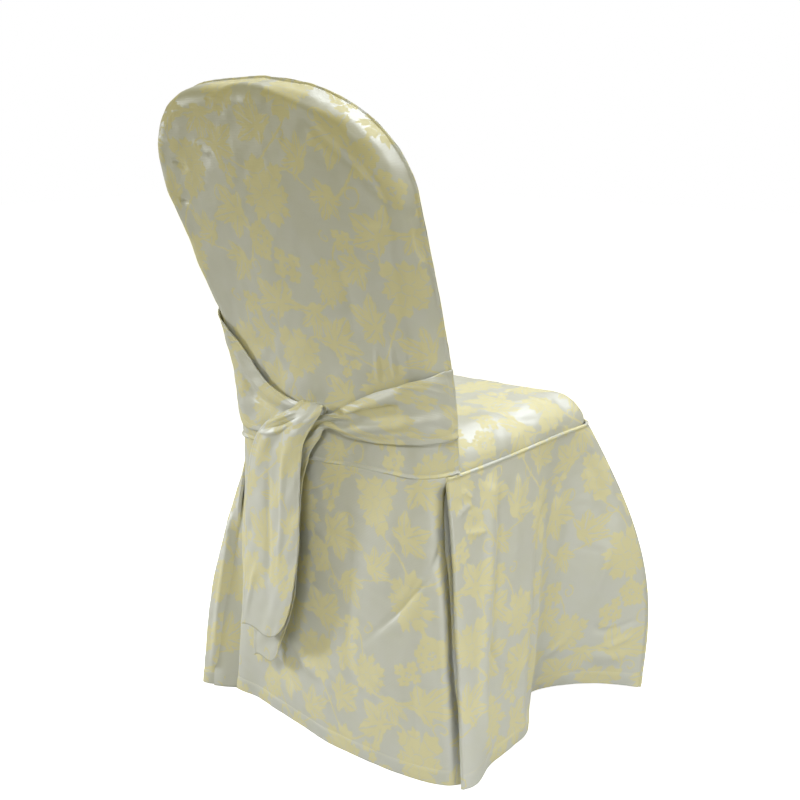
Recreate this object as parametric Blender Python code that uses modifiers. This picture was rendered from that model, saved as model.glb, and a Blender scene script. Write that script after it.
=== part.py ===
"""A damask cover fitted over a dining chair, with a sash tied behind its back.

The chair faces -Y and its back leans to +Y. +X is the sitter's left. The floor is z = 0.
Every panel is a thin cloth sheet laid on the shape that the hidden chair gives it.
Metres throughout.
"""

import math

import bmesh
import bpy
from mathutils import Vector

# Cloth
CLOTH = 0.0016
SEAM_GAP = 0.0004
SEAM_INSET = CLOTH + SEAM_GAP
FOOTPRINT_MIDDLE_X = 0.0062
FOOTPRINT_MIDDLE_Y = 0.0199
FLOOR_LIFT = 0.0006

# Seat
SEAT_FRONT_Y = -0.226
SEAT_FRONT_CORNER = 0.045
SEAT_TOP_CORNER = 0.050
SEAM_Z = 0.451
SEAM_RISE = 0.012
SEAT_CROWN = 0.049
SEAT_ROUND = 0.055

# The sash draws the sitter's left of the back towards the front: slope across the back at the
# seam, height over which it fades, and where along the seat it starts and over what length.
LEFT_DRAW = 0.10
LEFT_DRAW_HEIGHT = 0.26
LEFT_DRAW_FROM_Y = -0.05
LEFT_DRAW_OVER_Y = 0.20

# Back: the outside panel turns over the thickness to a seam on the front edge
BACK_LEAN = math.radians(16.4)
LEAN_FROM = 0.02
LEAN_OVER = 0.16
BACK_BOW = 0.012
ARCH_H = 0.385
ARCH_RISE = 0.128
EAR_LEFT = 0.15
EAR_RIGHT = 0.01
INSIDE_PUFF = 0.012
INSIDE_EDGE = 0.30
INSIDE_FLARE = 4

BACK_PROFILE = [
    # height above the seam, y of the face, half width over the turns, turn radius, thickness
    (0.000, 0.204, 0.209, 0.050, 0.066),
    (0.100, 0.208, 0.207, 0.044, 0.062),
    (0.200, 0.226, 0.208, 0.036, 0.056),
    (0.300, 0.262, 0.218, 0.028, 0.050),
    (0.385, 0.294, 0.225, 0.022, 0.046),
    (0.560, 0.350, 0.225, 0.020, 0.046),
]

# Skirts: where each fold line leaves the seat seam and where it meets the floor. A fold line spreads
# from the seam fastest at its top, and bellies out by the last column a little below its middle.
# A station runs along the seam from the middle of the back, to the sitter's right when positive.
SKIRT_SPREAD = 0.85
SKIRT_BELLY = 1.1
HEM_BACK = [
    # station, hem x, hem y, hem lift, belly
    (-0.225, 0.250, 0.150, 0.000, -0.012),
    (-0.205, 0.240, 0.158, 0.000, -0.004),
    (-0.165, 0.186, 0.160, 0.000, 0.004),
    (-0.100, 0.100, 0.180, 0.000, 0.004),
    (0.000, -0.004, 0.203, 0.000, 0.000),
    (0.080, -0.090, 0.211, 0.000, 0.004),
    (0.130, -0.150, 0.212, 0.000, 0.006),
    (0.195, -0.232, 0.195, 0.000, 0.000),
    (0.225, -0.256, 0.166, 0.000, -0.014),
]
HEM_RIGHT = [
    # station, hem x, hem y, hem lift, belly
    (0.229, -0.265, 0.188, 0.000, 0.004),
    (0.262, -0.263, 0.158, 0.000, 0.004),
    (0.338, -0.245, 0.101, 0.000, 0.006),
    (0.400, -0.238, 0.037, 0.002, 0.010),
    (0.450, -0.225, -0.022, 0.006, 0.014),
    (0.490, -0.180, -0.078, 0.016, 0.010),
    (0.530, -0.174, -0.130, 0.020, 0.016),
    (0.570, -0.226, -0.207, 0.020, 0.030),
    (0.605, -0.287, -0.253, 0.014, 0.042),
]
HEM_LEFT = [
    # station, hem x, hem y, hem lift, belly
    (-0.605, 0.281, -0.248, 0.010, 0.034),
    (-0.560, 0.240, -0.190, 0.012, 0.022),
    (-0.500, 0.218, -0.090, 0.012, 0.014),
    (-0.400, 0.250, 0.020, 0.006, 0.014),
    (-0.300, 0.292, 0.116, 0.002, 0.018),
    (-0.252, 0.306, 0.174, 0.000, 0.024),
    (-0.229, 0.262, 0.166, 0.000, 0.012),
]
HEM_FRONT = [
    # station from the middle of the front, hem x, hem y, hem lift, belly
    (-0.200, 0.284, -0.252, 0.010, 0.034),
    (-0.160, 0.262, -0.286, 0.008, 0.024),
    (-0.100, 0.190, -0.284, 0.004, 0.010),
    (0.000, 0.000, -0.274, 0.000, 0.004),
    (0.100, -0.190, -0.284, 0.004, 0.010),
    (0.160, -0.266, -0.288, 0.010, 0.028),
    (0.200, -0.290, -0.256, 0.014, 0.042),
]
# Corner pleats: a strip from inside the back skirt, in and across, to inside the side skirt.
PLEAT_FOLDS = [
    # station, depth at the seam, depth at the hem
    (0.2242, 0.000, 0.000),
    (0.225, 0.003, 0.010),
    (0.275, 0.004, 0.026),
    (0.287, 0.003, 0.018),
    (0.297, 0.000, 0.000),
]
PLEAT_CLEAR = 0.0026

# Ties: two sashes sewn into the side seams, crossed once, with free tails.
# Levels run across the back as on the outside back, to the sitter's right when positive.
TIE_RIGHT = [
    # run, upper level, upper height, lower level, lower height, stand-off, pleat
    (0.00, 3.00, 0.140, 3.00, 0.052, 0.0019, 0.000),
    (0.07, 2.30, 0.142, 2.30, 0.052, 0.004, 0.000),
    (0.14, 1.80, 0.145, 1.75, 0.052, 0.006, 0.001),
    (0.22, 1.20, 0.142, 1.15, 0.050, 0.008, 0.002),
    (0.30, 0.80, 0.124, 0.76, 0.045, 0.010, 0.004),
    (0.38, 0.45, 0.096, 0.45, 0.047, 0.012, 0.005),
    (0.44, 0.27, 0.080, 0.29, 0.056, 0.014, 0.004),
    (0.49, 0.14, 0.073, 0.20, 0.054, 0.0145, 0.003),
    (0.54, -0.04, 0.060, 0.14, 0.038, 0.0145, 0.003),
    (0.60, -0.40, 0.034, 0.02, 0.012, 0.014, 0.002),
    (0.68, -0.74, -0.040, -0.10, -0.044, 0.013, 0.001),
    (0.80, -0.88, -0.150, -0.18, -0.150, 0.012, 0.001),
    (0.90, -0.94, -0.250, -0.28, -0.240, 0.013, 0.001),
    (1.00, -0.95, -0.352, -0.50, -0.312, 0.014, 0.000),
]
TIE_LEFT = [
    # run, upper level, upper height, lower level, lower height, stand-off, pleat
    (0.00, -3.00, 0.205, -3.00, 0.105, 0.0019, 0.000),
    (0.06, -2.30, 0.203, -2.30, 0.088, 0.003, 0.000),
    (0.12, -1.60, 0.197, -1.65, 0.055, 0.004, 0.000),
    (0.18, -1.05, 0.180, -1.10, 0.020, 0.006, 0.001),
    (0.25, -0.66, 0.112, -0.66, 0.024, 0.007, 0.001),
    (0.31, -0.34, 0.090, -0.34, 0.042, 0.007, 0.001),
    (0.36, -0.06, 0.085, -0.04, 0.060, 0.0065, 0.001),
    (0.40, 0.06, 0.084, 0.16, 0.068, 0.0065, 0.000),
    (0.43, 0.04, 0.092, 0.22, 0.086, 0.009, 0.000),
    (0.46, -0.02, 0.095, 0.24, 0.092, 0.019, 0.000),
    (0.49, -0.12, 0.082, 0.25, 0.085, 0.026, 0.000),
    (0.54, -0.45, 0.055, 0.16, 0.062, 0.030, 0.001),
    (0.60, -0.74, 0.012, 0.03, 0.026, 0.030, 0.002),
    (0.68, -0.86, -0.040, -0.02, -0.030, 0.029, 0.001),
    (0.82, -0.94, -0.145, -0.06, -0.130, 0.029, 0.001),
    (0.93, -0.98, -0.235, -0.16, -0.215, 0.030, 0.001),
    (1.00, -1.02, -0.297, -0.28, -0.262, 0.030, 0.000),
]
TIE_POINT = 0.030
TIE_POINT_FROM = 0.93
TIE_POINT_SLANT = (1.3, -0.2)
TIE_FOLDS = 2
TIE_ACROSS = 8
TIE_STEP = 0.042

# Grid fineness
FACE_COLUMNS = 8
BACK_ROWS = 12
SKIRT_ROWS = 12
SKIRT_STEP = 0.025
CORNER_STEPS = 12
STRAIGHT_STEPS = 16
TURN_LEVELS = [1.33, 1.67, 2.0, 3.0]
SEAT_RUNS = [0.0, 0.2, 0.4, 0.6, 0.75, 0.84, 0.90, 0.945, 0.98, 0.995, 1.0]
PANEL_LEVELS = [0.0, 0.24, 0.48, 0.72, 0.874, 0.944, 0.983, 1.0]


def lerp(a, b, t):
    return a + (b - a) * t


def smooth(t):
    """Ease from 0 to 1."""
    t = min(max(t, 0.0), 1.0)
    return t * t * (3.0 - 2.0 * t)


def even(start, end, count):
    return [lerp(start, end, i / count) for i in range(count + 1)]


def stops_through(rows, step):
    """Every key of a table, with even stops between that are no more than a step apart."""
    stops = []
    for low, high in zip(rows, rows[1:]):
        stops += even(low[0], high[0], math.ceil((high[0] - low[0]) / step - 0.01))[:-1]
    return stops + [rows[-1][0]]


def both_sides(levels):
    """Levels from the middle outward, mirrored to run from one edge to the other."""
    return [-level for level in reversed(levels[1:])] + levels


def read_row(rows, key):
    """All columns of a table at key, on a curve through its rows."""
    key = min(max(key, rows[0][0]), rows[-1][0])
    i = 0
    while i < len(rows) - 2 and key > rows[i + 1][0]:
        i += 1
    low, high = rows[i], rows[i + 1]
    before, after = rows[max(i - 1, 0)], rows[min(i + 2, len(rows) - 1)]
    span = high[0] - low[0]
    t = (key - low[0]) / span
    values = []
    for c in range(1, len(low)):
        rise_low = (high[c] - before[c]) / (high[0] - before[0])
        rise_high = (after[c] - low[c]) / (after[0] - low[0])
        values.append(
            (2 * t**3 - 3 * t**2 + 1) * low[c]
            + (t**3 - 2 * t**2 + t) * span * rise_low
            + (3 * t**2 - 2 * t**3) * high[c]
            + (t**3 - t**2) * span * rise_high
        )
    return values


def place(x, y, z):
    """A point of the cover, with the footprint's middle on the origin."""
    return Vector((x - FOOTPRINT_MIDDLE_X, y - FOOTPRINT_MIDDLE_Y, z + FLOOR_LIFT))


def left_draw(x, height):
    """How far the tied sash draws the sitter's left of the back towards the front."""
    return LEFT_DRAW * max(x, 0.0) * (1.0 - smooth(height / LEFT_DRAW_HEIGHT))


# Back


def ring_point(a, b):
    """Square grid to rings: below b = 0 straight columns, above it half circles of level max(a, b)."""
    if b <= 0.0:
        return abs(a), math.copysign(1.0, a), 0.0
    level = max(abs(a), b)
    u, v = a / level, b / level
    return level, u * math.sqrt(1.0 - v * v / 2.0), v * math.sqrt(1.0 - u * u / 2.0)


def back_edge(side, rise, height):
    """Edge of the outside back's face, its height and its outward direction across the back."""
    face_y, half, turn, thick = read_row(BACK_PROFILE, height)
    ear = EAR_LEFT if side > 0 else EAR_RIGHT
    swell = 1.0 + ear * (2.0 * side * rise) ** 2
    edge_x = side * (half - turn) * swell
    edge_h = height + rise * ARCH_RISE * swell
    normal = Vector((side / (half - turn), rise / ARCH_RISE)).normalized()
    return edge_x, edge_h, normal, turn, thick


def back_axes(height):
    """Directions up along the back and in through its thickness."""
    lean = BACK_LEAN * smooth((height - LEAN_FROM) / LEAN_OVER)
    return Vector((0.0, math.sin(lean), math.cos(lean))), Vector((0.0, -math.cos(lean), math.sin(lean)))


def back_base(x, height, bow):
    face_y = read_row(BACK_PROFILE, height)[0]
    return place(x, face_y + bow - left_draw(x, height), SEAM_Z + height)


def outside_point(a, b, stand=0.0):
    """Point of the outside back. Level 0 to 1 is the face, 1 to 2 the turn, 2 to 3 the thickness.

    b = -1 is the seat seam and b = 0 the foot of the arch. stand lifts the point off the cloth.
    """
    level, side, rise = ring_point(a, b)
    low = ARCH_H * (1.0 + min(b, 0.0))
    edge_x, edge_h, normal, turn, thick = back_edge(side, rise, low)
    reach = min(level, 1.0)
    height = lerp(low, edge_h, reach)
    up, depth = back_axes(height)
    base = back_base(edge_x * reach, height, BACK_BOW * (1.0 - reach * reach) ** 2)
    angle = math.pi / 2.0 * min(max(level - 1.0, 0.0), 1.0)
    out = (turn + stand) * math.sin(angle)
    deep = turn - (turn + stand) * math.cos(angle) + max(level - 2.0, 0.0) * (thick - turn)
    return base + (Vector((normal.x, 0.0, 0.0)) + up * normal.y) * out + depth * deep


def inside_point(a, b):
    """Point of the inside back, from its middle (level 0) to the front seam (level 1)."""
    level, side, rise = ring_point(a, b)
    low = lerp(ARCH_H, seat_rear_height(a), -b) if b < 0.0 else ARCH_H
    edge_x, edge_h, normal, turn, thick = back_edge(side, rise, low)
    height = lerp(low, edge_h, level)
    up, depth = back_axes(height)
    base = back_base(edge_x * level, height, 0.0)
    puff = INSIDE_PUFF * smooth((1.0 - level) / INSIDE_EDGE)
    out = turn * level**INSIDE_FLARE
    deep = thick + SEAM_GAP + CLOTH + puff
    return base + (Vector((normal.x, 0.0, 0.0)) + up * normal.y) * out + depth * deep


# Seat


def round_over(distance):
    """Rise of the padded seat at a distance from its edge, as a share of the crown."""
    t = min(max(distance / SEAT_ROUND, 0.0), 1.0)
    return math.sqrt(1.0 - (1.0 - t) ** 2)


def seat_half(y):
    """Half width of the seat top in plan, inside the skirts' upper edge."""
    half = read_row(BACK_PROFILE, 0.0)[1] - SEAM_INSET
    near_front = SEAT_FRONT_Y + SEAM_INSET + SEAT_TOP_CORNER - y
    if near_front <= 0.0:
        return half
    return half - SEAT_TOP_CORNER + math.sqrt(max(SEAT_TOP_CORNER**2 - near_front**2, 0.0))


def seat_crown_at(x, y):
    """Rise of the seat top above its seam."""
    return SEAT_CROWN * round_over(seat_half(y) - abs(x)) * round_over(y - SEAT_FRONT_Y - SEAM_INSET)


def seat_rear_height(a):
    """Height above the seam at which the inside back meets the seat, across the back."""
    _, half, turn, _ = read_row(BACK_PROFILE, 0.0)
    return seat_crown_at((half - turn) * a + turn * math.copysign(a**INSIDE_FLARE, a), 0.0) + 2.0 * SEAM_GAP


# Seat seam and skirts


def seam_plan():
    """Right half of the seat seam in plan, from the middle of the back to the middle of the front."""
    face_y, half, turn, _ = read_row(BACK_PROFILE, 0.0)
    corner = SEAT_FRONT_CORNER
    points = []
    for t in even(0.0, 1.0, STRAIGHT_STEPS)[:-1]:
        points.append(((half - turn) * t, face_y + BACK_BOW * (1.0 - t * t) ** 2))
    for angle in even(0.0, math.pi / 2.0, CORNER_STEPS)[:-1]:
        points.append((half - turn + turn * math.sin(angle), face_y - turn + turn * math.cos(angle)))
    for y in even(face_y - turn, SEAT_FRONT_Y + corner, STRAIGHT_STEPS)[:-1]:
        points.append((half, y))
    for angle in even(0.0, math.pi / 2.0, CORNER_STEPS)[:-1]:
        x = half - corner + corner * math.cos(angle)
        points.append((x, SEAT_FRONT_Y + corner - corner * math.sin(angle)))
    for x in even(half - corner, 0.0, STRAIGHT_STEPS):
        points.append((x, SEAT_FRONT_Y))
    return points


def seam_at(station):
    """Place and outward normal on the seat seam."""
    plan = seam_plan()
    side = -math.copysign(1.0, station)
    run = 0.0
    for (x0, y0), (x1, y1) in zip(plan, plan[1:]):
        step = math.hypot(x1 - x0, y1 - y0)
        if run + step >= abs(station):
            break
        run += step
    t = min((abs(station) - run) / step, 1.0)
    x, y = side * lerp(x0, x1, t), lerp(y0, y1, t)
    normal = Vector((-(y1 - y0), x1 - x0)).normalized()
    drawn = left_draw(x, 0.0) * smooth((y - LEFT_DRAW_FROM_Y) / LEFT_DRAW_OVER_Y)
    return Vector((x, y - drawn)), Vector((side * normal.x, normal.y))


def pleat_point(rows_side, side, fold, v):
    """Point of a pleat insert: fold counts its lines, v = 0 on the seat seam, v = 1 at the hem."""
    station, depth_top, depth_hem = PLEAT_FOLDS[fold]
    rows = HEM_BACK if station <= HEM_BACK[-1][0] else rows_side
    clear = lerp(SEAM_GAP, PLEAT_CLEAR, smooth(4.0 * v))
    sunk = CLOTH + clear + lerp(depth_top, depth_hem, smooth(2.0 * v))
    return skirt_point(rows, side * station, v, -sunk)


def tie_point(rows, run, across):
    """Point of a tie: across = 0 on its lower edge, 1 on its upper edge."""
    upper, upper_height, lower, lower_height, stand, pleat = read_row(rows, run)
    level = lerp(lower, upper, across)
    height = lerp(lower_height, upper_height, across)
    tail_end = smooth((run - TIE_POINT_FROM) / (1.0 - TIE_POINT_FROM))
    slant = lerp(*TIE_POINT_SLANT, across)
    height -= TIE_POINT * tail_end * math.sin(math.pi * across) * slant
    lift = stand - pleat * math.cos(2.0 * math.pi * TIE_FOLDS * across)
    return outside_point(-level, height / ARCH_H - 1.0, lift)


def seam_length():
    plan = seam_plan()
    return sum(math.hypot(b[0] - a[0], b[1] - a[1]) for a, b in zip(plan, plan[1:]))


def seam_height(y):
    """Height of the seat seam: level under the back, then rising to the front."""
    back = BACK_PROFILE[0][1] - BACK_PROFILE[0][4]
    return SEAM_Z + SEAM_RISE * smooth((back - y) / (back - SEAT_FRONT_Y))


def skirt_point(rows, station, v, stand=0.0, from_front=False):
    """Point of a skirt: v = 0 on the seat seam, v = 1 at the hem."""
    hem_x, hem_y, lift, belly = read_row(rows, station)
    if from_front:
        station = math.copysign(seam_length() - abs(station), station)
    top, normal = seam_at(station)
    spread = v**SKIRT_SPREAD
    swing = belly * math.sin(math.pi * v**SKIRT_BELLY) + stand
    x = lerp(top.x, hem_x, spread) + normal.x * swing
    y = lerp(top.y, hem_y, spread) + normal.y * swing
    return place(x, y, lerp(seam_height(top.y) - SEAM_GAP, lift, v))


# Meshes


def grid_sheet(name, stops_u, stops_v, point, material):
    """A cloth sheet: a grid whose crossings are laid on a surface, thickened by Solidify."""
    bm = bmesh.new()
    bmesh.ops.create_grid(bm, x_segments=len(stops_u) - 1, y_segments=len(stops_v) - 1, size=0.5)
    for vert in bm.verts:
        i = round((vert.co.x + 0.5) * (len(stops_u) - 1))
        j = round((vert.co.y + 0.5) * (len(stops_v) - 1))
        vert.co = point(stops_u[i], stops_v[j])
    mesh = bpy.data.meshes.new(name)
    bm.to_mesh(mesh)
    bm.free()
    mesh.shade_smooth()
    piece = bpy.data.objects.new(name, mesh)
    solid = piece.modifiers.new("cloth thickness", "SOLIDIFY")
    solid.thickness = CLOTH
    solid.offset = -1.0
    mesh.materials.append(material)
    return piece


def damask(name, colour, roughness):
    material = bpy.data.materials.new(name)
    material.use_nodes = True
    shader = material.node_tree.nodes["Principled BSDF"]
    shader.inputs["Base Color"].default_value = (*colour, 1.0)
    shader.inputs["Roughness"].default_value = roughness
    shader.inputs["Metallic"].default_value = 0.0
    return material


def outside_back(material):
    face = even(0.0, 1.0, FACE_COLUMNS)
    levels = face + TURN_LEVELS
    stops_u = list(reversed(levels)) + [-s for s in levels[1:]]
    stops_v = even(-1.0, 0.0, BACK_ROWS) + levels[1:]
    return grid_sheet("outside_back", stops_u, stops_v, outside_point, material)


def inside_back(material):
    stops_v = even(-1.0, 0.0, BACK_ROWS) + PANEL_LEVELS[1:]
    return grid_sheet("inside_back", both_sides(PANEL_LEVELS), stops_v, inside_point, material)


def seat_top(material):
    half = read_row(BACK_PROFILE, 0.0)[1]

    def point(u, v):
        rear = inside_point(u, -1.0) - Vector((0.0, SEAM_GAP, 2.0 * SEAM_GAP))
        if v == 0.0:
            return rear
        y = lerp(rear.y + FOOTPRINT_MIDDLE_Y, SEAT_FRONT_Y + SEAM_INSET, v)
        x = (rear.x + FOOTPRINT_MIDDLE_X) / half * seat_half(y)
        return place(x, y, seam_height(y) - 2.0 * SEAM_GAP + seat_crown_at(x, y))

    return grid_sheet("seat_top", both_sides(PANEL_LEVELS), list(reversed(SEAT_RUNS)), point, material)


def skirt(name, rows, material, from_front=False):
    stations = stops_through(rows, SKIRT_STEP)
    stations = list(reversed(stations)) if from_front else stations
    heights = even(1.0, 0.0, SKIRT_ROWS)
    return grid_sheet(
        name, stations, heights, lambda s, v: skirt_point(rows, s, v, 0.0, from_front), material
    )


def pleat_insert(name, rows_side, side, material):
    folds = list(range(len(PLEAT_FOLDS)))
    folds = list(reversed(folds)) if side < 0 else folds
    heights = even(1.0, 0.0, SKIRT_ROWS)
    return grid_sheet(name, folds, heights, lambda fold, v: pleat_point(rows_side, side, fold, v), material)


def tie(name, rows, material):
    across = even(0.0, 1.0, TIE_ACROSS)
    across = list(reversed(across)) if rows[0][1] > 0.0 else across
    runs = stops_through(rows, TIE_STEP)
    return grid_sheet(name, runs, across, lambda run, v: tie_point(rows, run, v), material)


def clear_scene():
    for thing in list(bpy.data.objects):
        bpy.data.objects.remove(thing, do_unlink=True)


def main():
    clear_scene()
    cover = bpy.data.collections.new("damask_chair_cover")
    bpy.context.scene.collection.children.link(cover)
    shade = damask("back damask", (0.62, 0.61, 0.52), 0.55)
    light = damask("skirt damask", (0.74, 0.72, 0.60), 0.50)
    pieces = [
        outside_back(shade),
        inside_back(shade),
        seat_top(light),
        skirt("skirt_back", HEM_BACK, light),
        skirt("skirt_right", HEM_RIGHT, light),
        skirt("skirt_left", HEM_LEFT, light),
        skirt("skirt_front", HEM_FRONT, light, from_front=True),
        pleat_insert("pleat_right", HEM_RIGHT, 1.0, light),
        pleat_insert("pleat_left", HEM_LEFT, -1.0, light),
        tie("tie_right", TIE_RIGHT, shade),
        tie("tie_left", TIE_LEFT, shade),
    ]
    for piece in pieces:
        cover.objects.link(piece)


main()
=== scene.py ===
"""Dresses the damask chair cover: its panels with their folds, hems and seams, the knotted sash,
the woven flowers and the stitching, on a plain pale stage.

The frame's cover faces -Y and leans back to +Y; +X is the sitter's left. Sizes are in metres,
except in the tables that say millimetres.
"""

import math

import bpy
import numpy as np
from bpy.props import FloatProperty, FloatVectorProperty, PointerProperty
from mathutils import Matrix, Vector


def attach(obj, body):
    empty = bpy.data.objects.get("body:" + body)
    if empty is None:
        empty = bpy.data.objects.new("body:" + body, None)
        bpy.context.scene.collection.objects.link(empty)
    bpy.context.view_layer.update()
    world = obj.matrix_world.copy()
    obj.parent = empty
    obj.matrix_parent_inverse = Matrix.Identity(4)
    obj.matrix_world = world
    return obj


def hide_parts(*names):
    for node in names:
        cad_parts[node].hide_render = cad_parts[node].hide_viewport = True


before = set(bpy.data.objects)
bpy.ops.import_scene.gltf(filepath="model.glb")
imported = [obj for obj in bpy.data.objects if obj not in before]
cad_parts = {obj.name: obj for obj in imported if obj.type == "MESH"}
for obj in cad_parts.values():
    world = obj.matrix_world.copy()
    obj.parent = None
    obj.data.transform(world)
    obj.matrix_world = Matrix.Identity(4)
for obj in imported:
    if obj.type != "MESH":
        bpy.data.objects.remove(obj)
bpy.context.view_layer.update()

bl_info = {
    "name": "Damask chair cover",
    "version": (1, 0, 0),
    "blender": (4, 5, 0),
    "location": "View3D > Sidebar > Chair cover",
    "description": "Makes a fitted damask chair cover with a sash tied behind its back",
    "category": "Object",
}

# Sizes shared with the solids
SHEET = 0.0016
SEAM_GAP = 0.0004
SEAM_INSET = 0.0020
FOOTPRINT_MIDDLE = (0.0062, 0.0199)
FLOOR_LIFT = 0.0006
SEAT_FRONT_Y = -0.226
SEAT_FRONT_CORNER = 0.045
SEAT_TOP_CORNER = 0.050
SEAM_Z = 0.451
SEAM_RISE = 0.012
SEAT_CROWN = 0.049
SEAT_ROUND = 0.055
LEFT_DRAW = 0.10
LEFT_DRAW_HEIGHT = 0.26
LEFT_DRAW_FROM_Y = -0.05
LEFT_DRAW_OVER_Y = 0.20
BACK_LEAN = math.radians(16.4)
LEAN_FROM = 0.02
LEAN_OVER = 0.16
BACK_BOW = 0.012
ARCH_H = 0.385
ARCH_RISE = 0.128
EAR_LEFT = 0.15
EAR_RIGHT = 0.01
INSIDE_PUFF = 0.012
INSIDE_EDGE = 0.30
INSIDE_FLARE = 4
SKIRT_SPREAD = 0.85
SKIRT_BELLY = 1.1
TIE_POINT = 0.030
TIE_POINT_FROM = 0.93
TIE_POINT_SLANT = (1.3, -0.2)
TIE_FOLDS = 2

# These tables are written in millimetres, and divided into metres
BACK_PROFILE = np.array([
    # height above the seam, y of the face, half width over the turns, turn radius, thickness
    (0, 204, 209, 50, 66),
    (100, 208, 207, 44, 62),
    (200, 226, 208, 36, 56),
    (300, 262, 218, 28, 50),
    (385, 294, 225, 22, 46),
    (560, 350, 225, 20, 46),
]) / 1000.0
HEM_BACK = np.array([
    # station on the seat seam, hem x, hem y, hem lift, belly
    (-225, 250, 150, 0, -12),
    (-205, 240, 158, 0, -4),
    (-165, 186, 160, 0, 4),
    (-100, 100, 180, 0, 4),
    (0, -4, 203, 0, 0),
    (80, -90, 211, 0, 4),
    (130, -150, 212, 0, 6),
    (195, -232, 195, 0, 0),
    (225, -256, 166, 0, -14),
]) / 1000.0
HEM_RIGHT = np.array([
    (229, -265, 188, 0, 4),
    (262, -263, 158, 0, 4),
    (338, -245, 101, 0, 6),
    (400, -238, 37, 2, 10),
    (450, -225, -22, 6, 14),
    (490, -180, -78, 16, 10),
    (530, -174, -130, 20, 16),
    (570, -226, -207, 20, 30),
    (605, -287, -253, 14, 42),
]) / 1000.0
HEM_LEFT = np.array([
    (-605, 281, -248, 10, 34),
    (-560, 240, -190, 12, 22),
    (-500, 218, -90, 12, 14),
    (-400, 250, 20, 6, 14),
    (-300, 292, 116, 2, 18),
    (-252, 306, 174, 0, 24),
    (-229, 262, 166, 0, 12),
]) / 1000.0
HEM_FRONT = np.array([
    (-200, 284, -252, 10, 34),
    (-160, 262, -286, 8, 24),
    (-100, 190, -284, 4, 10),
    (0, 0, -274, 0, 4),
    (100, -190, -284, 4, 10),
    (160, -266, -288, 10, 28),
    (200, -290, -256, 14, 42),
]) / 1000.0
PLEAT_FOLDS = np.array([
    # station, depth at the seam, depth at the hem
    (224.2, 0, 0),
    (225, 3, 10),
    (275, 4, 26),
    (287, 3, 18),
    (297, 0, 0),
]) / 1000.0
PLEAT_CLEAR = 0.0026
CORNER_BACK = 0.225
CORNER_SIDE = 0.229
CORNER_TUCK = 0.010

# The ties' heights, stand-off and pleat are in metres; their runs and levels are shares
TIE_RIGHT = np.array([
    # run, upper level, upper height, lower level, lower height, stand-off, pleat
    (0.0, 3.0, 0.14, 3.0, 0.052, 0.0019, 0.0),
    (0.07, 2.3, 0.142, 2.3, 0.052, 0.004, 0.0),
    (0.14, 1.8, 0.145, 1.75, 0.052, 0.006, 0.001),
    (0.22, 1.2, 0.142, 1.15, 0.05, 0.008, 0.002),
    (0.3, 0.8, 0.124, 0.76, 0.045, 0.01, 0.004),
    (0.38, 0.45, 0.096, 0.45, 0.047, 0.012, 0.005),
    (0.44, 0.27, 0.08, 0.29, 0.056, 0.014, 0.004),
    (0.49, 0.14, 0.073, 0.2, 0.054, 0.0145, 0.003),
    (0.54, -0.04, 0.06, 0.14, 0.038, 0.0145, 0.003),
    (0.6, -0.4, 0.034, 0.02, 0.012, 0.014, 0.002),
    (0.68, -0.74, -0.04, -0.1, -0.044, 0.013, 0.001),
    (0.8, -0.88, -0.15, -0.18, -0.15, 0.012, 0.001),
    (0.9, -0.94, -0.25, -0.28, -0.24, 0.013, 0.001),
    (1.0, -0.95, -0.352, -0.5, -0.312, 0.014, 0.0),
])
TIE_LEFT = np.array([
    (0.0, -3.0, 0.205, -3.0, 0.105, 0.0019, 0.0),
    (0.06, -2.3, 0.203, -2.3, 0.088, 0.003, 0.0),
    (0.12, -1.6, 0.197, -1.65, 0.055, 0.004, 0.0),
    (0.18, -1.05, 0.18, -1.1, 0.02, 0.006, 0.001),
    (0.25, -0.66, 0.112, -0.66, 0.024, 0.007, 0.001),
    (0.31, -0.34, 0.09, -0.34, 0.042, 0.007, 0.001),
    (0.36, -0.06, 0.085, -0.04, 0.06, 0.0065, 0.001),
    (0.4, 0.06, 0.084, 0.16, 0.068, 0.0065, 0.0),
    (0.43, 0.04, 0.092, 0.22, 0.086, 0.009, 0.0),
    (0.46, -0.02, 0.095, 0.24, 0.092, 0.019, 0.0),
    (0.49, -0.12, 0.082, 0.25, 0.085, 0.026, 0.0),
    (0.54, -0.45, 0.055, 0.16, 0.062, 0.03, 0.001),
    (0.6, -0.74, 0.012, 0.03, 0.026, 0.03, 0.002),
    (0.68, -0.86, -0.04, -0.02, -0.03, 0.029, 0.001),
    (0.82, -0.94, -0.145, -0.06, -0.13, 0.029, 0.001),
    (0.93, -0.98, -0.235, -0.16, -0.215, 0.03, 0.001),
    (1.0, -1.02, -0.297, -0.28, -0.262, 0.03, 0.0),
])

# The camera's place, its line of sight, and its lens, at the photograph's view
CAMERA_FROM = (-1.3714, 1.6200, 0.9841)
CAMERA_SIGHT = (0.62875, -0.74610, -0.21911)
CAMERA_LENS = 62.4

# Sizes of the sewing: the grid's spacing at a seam, the welt and the stitches beside it, and the hems
SEAM_SPACE = 0.001
WELT_AT = 0.0024
WELT_WIDTH = 0.0018
STITCHES_AT = 0.0065
HEM_THICK = 0.0007
HEM_SOFT = 0.0025
TIE_HEM = 0.008

# Where sheets meet: how far their relief fades out, and how far their edges turn in under one another
SEAT_FADE = 0.012
SEAT_LIPS = (0.003, 0.004)
SEAT_LIP_DOWN = 0.0015
TOP_FADE = 0.04
JOIN_FADE = 0.03
SPLIT_PRESS = 0.0034
SPLIT_SOFT = 0.008
TUCK_SOFT = 0.016
LIP = 0.001
LIP_IN = 0.005
OPEN_LIP = 0.012
TOP_LIP_IN = 0.003
TOP_LIP_UP = 0.0008
BACK_LIP_UP = 0.005
FLOOR_CLEAR = 0.0002
FLOOR_CLEAR_LIP = 0.0009
THREAD_LIFT = 0.0001

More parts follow.
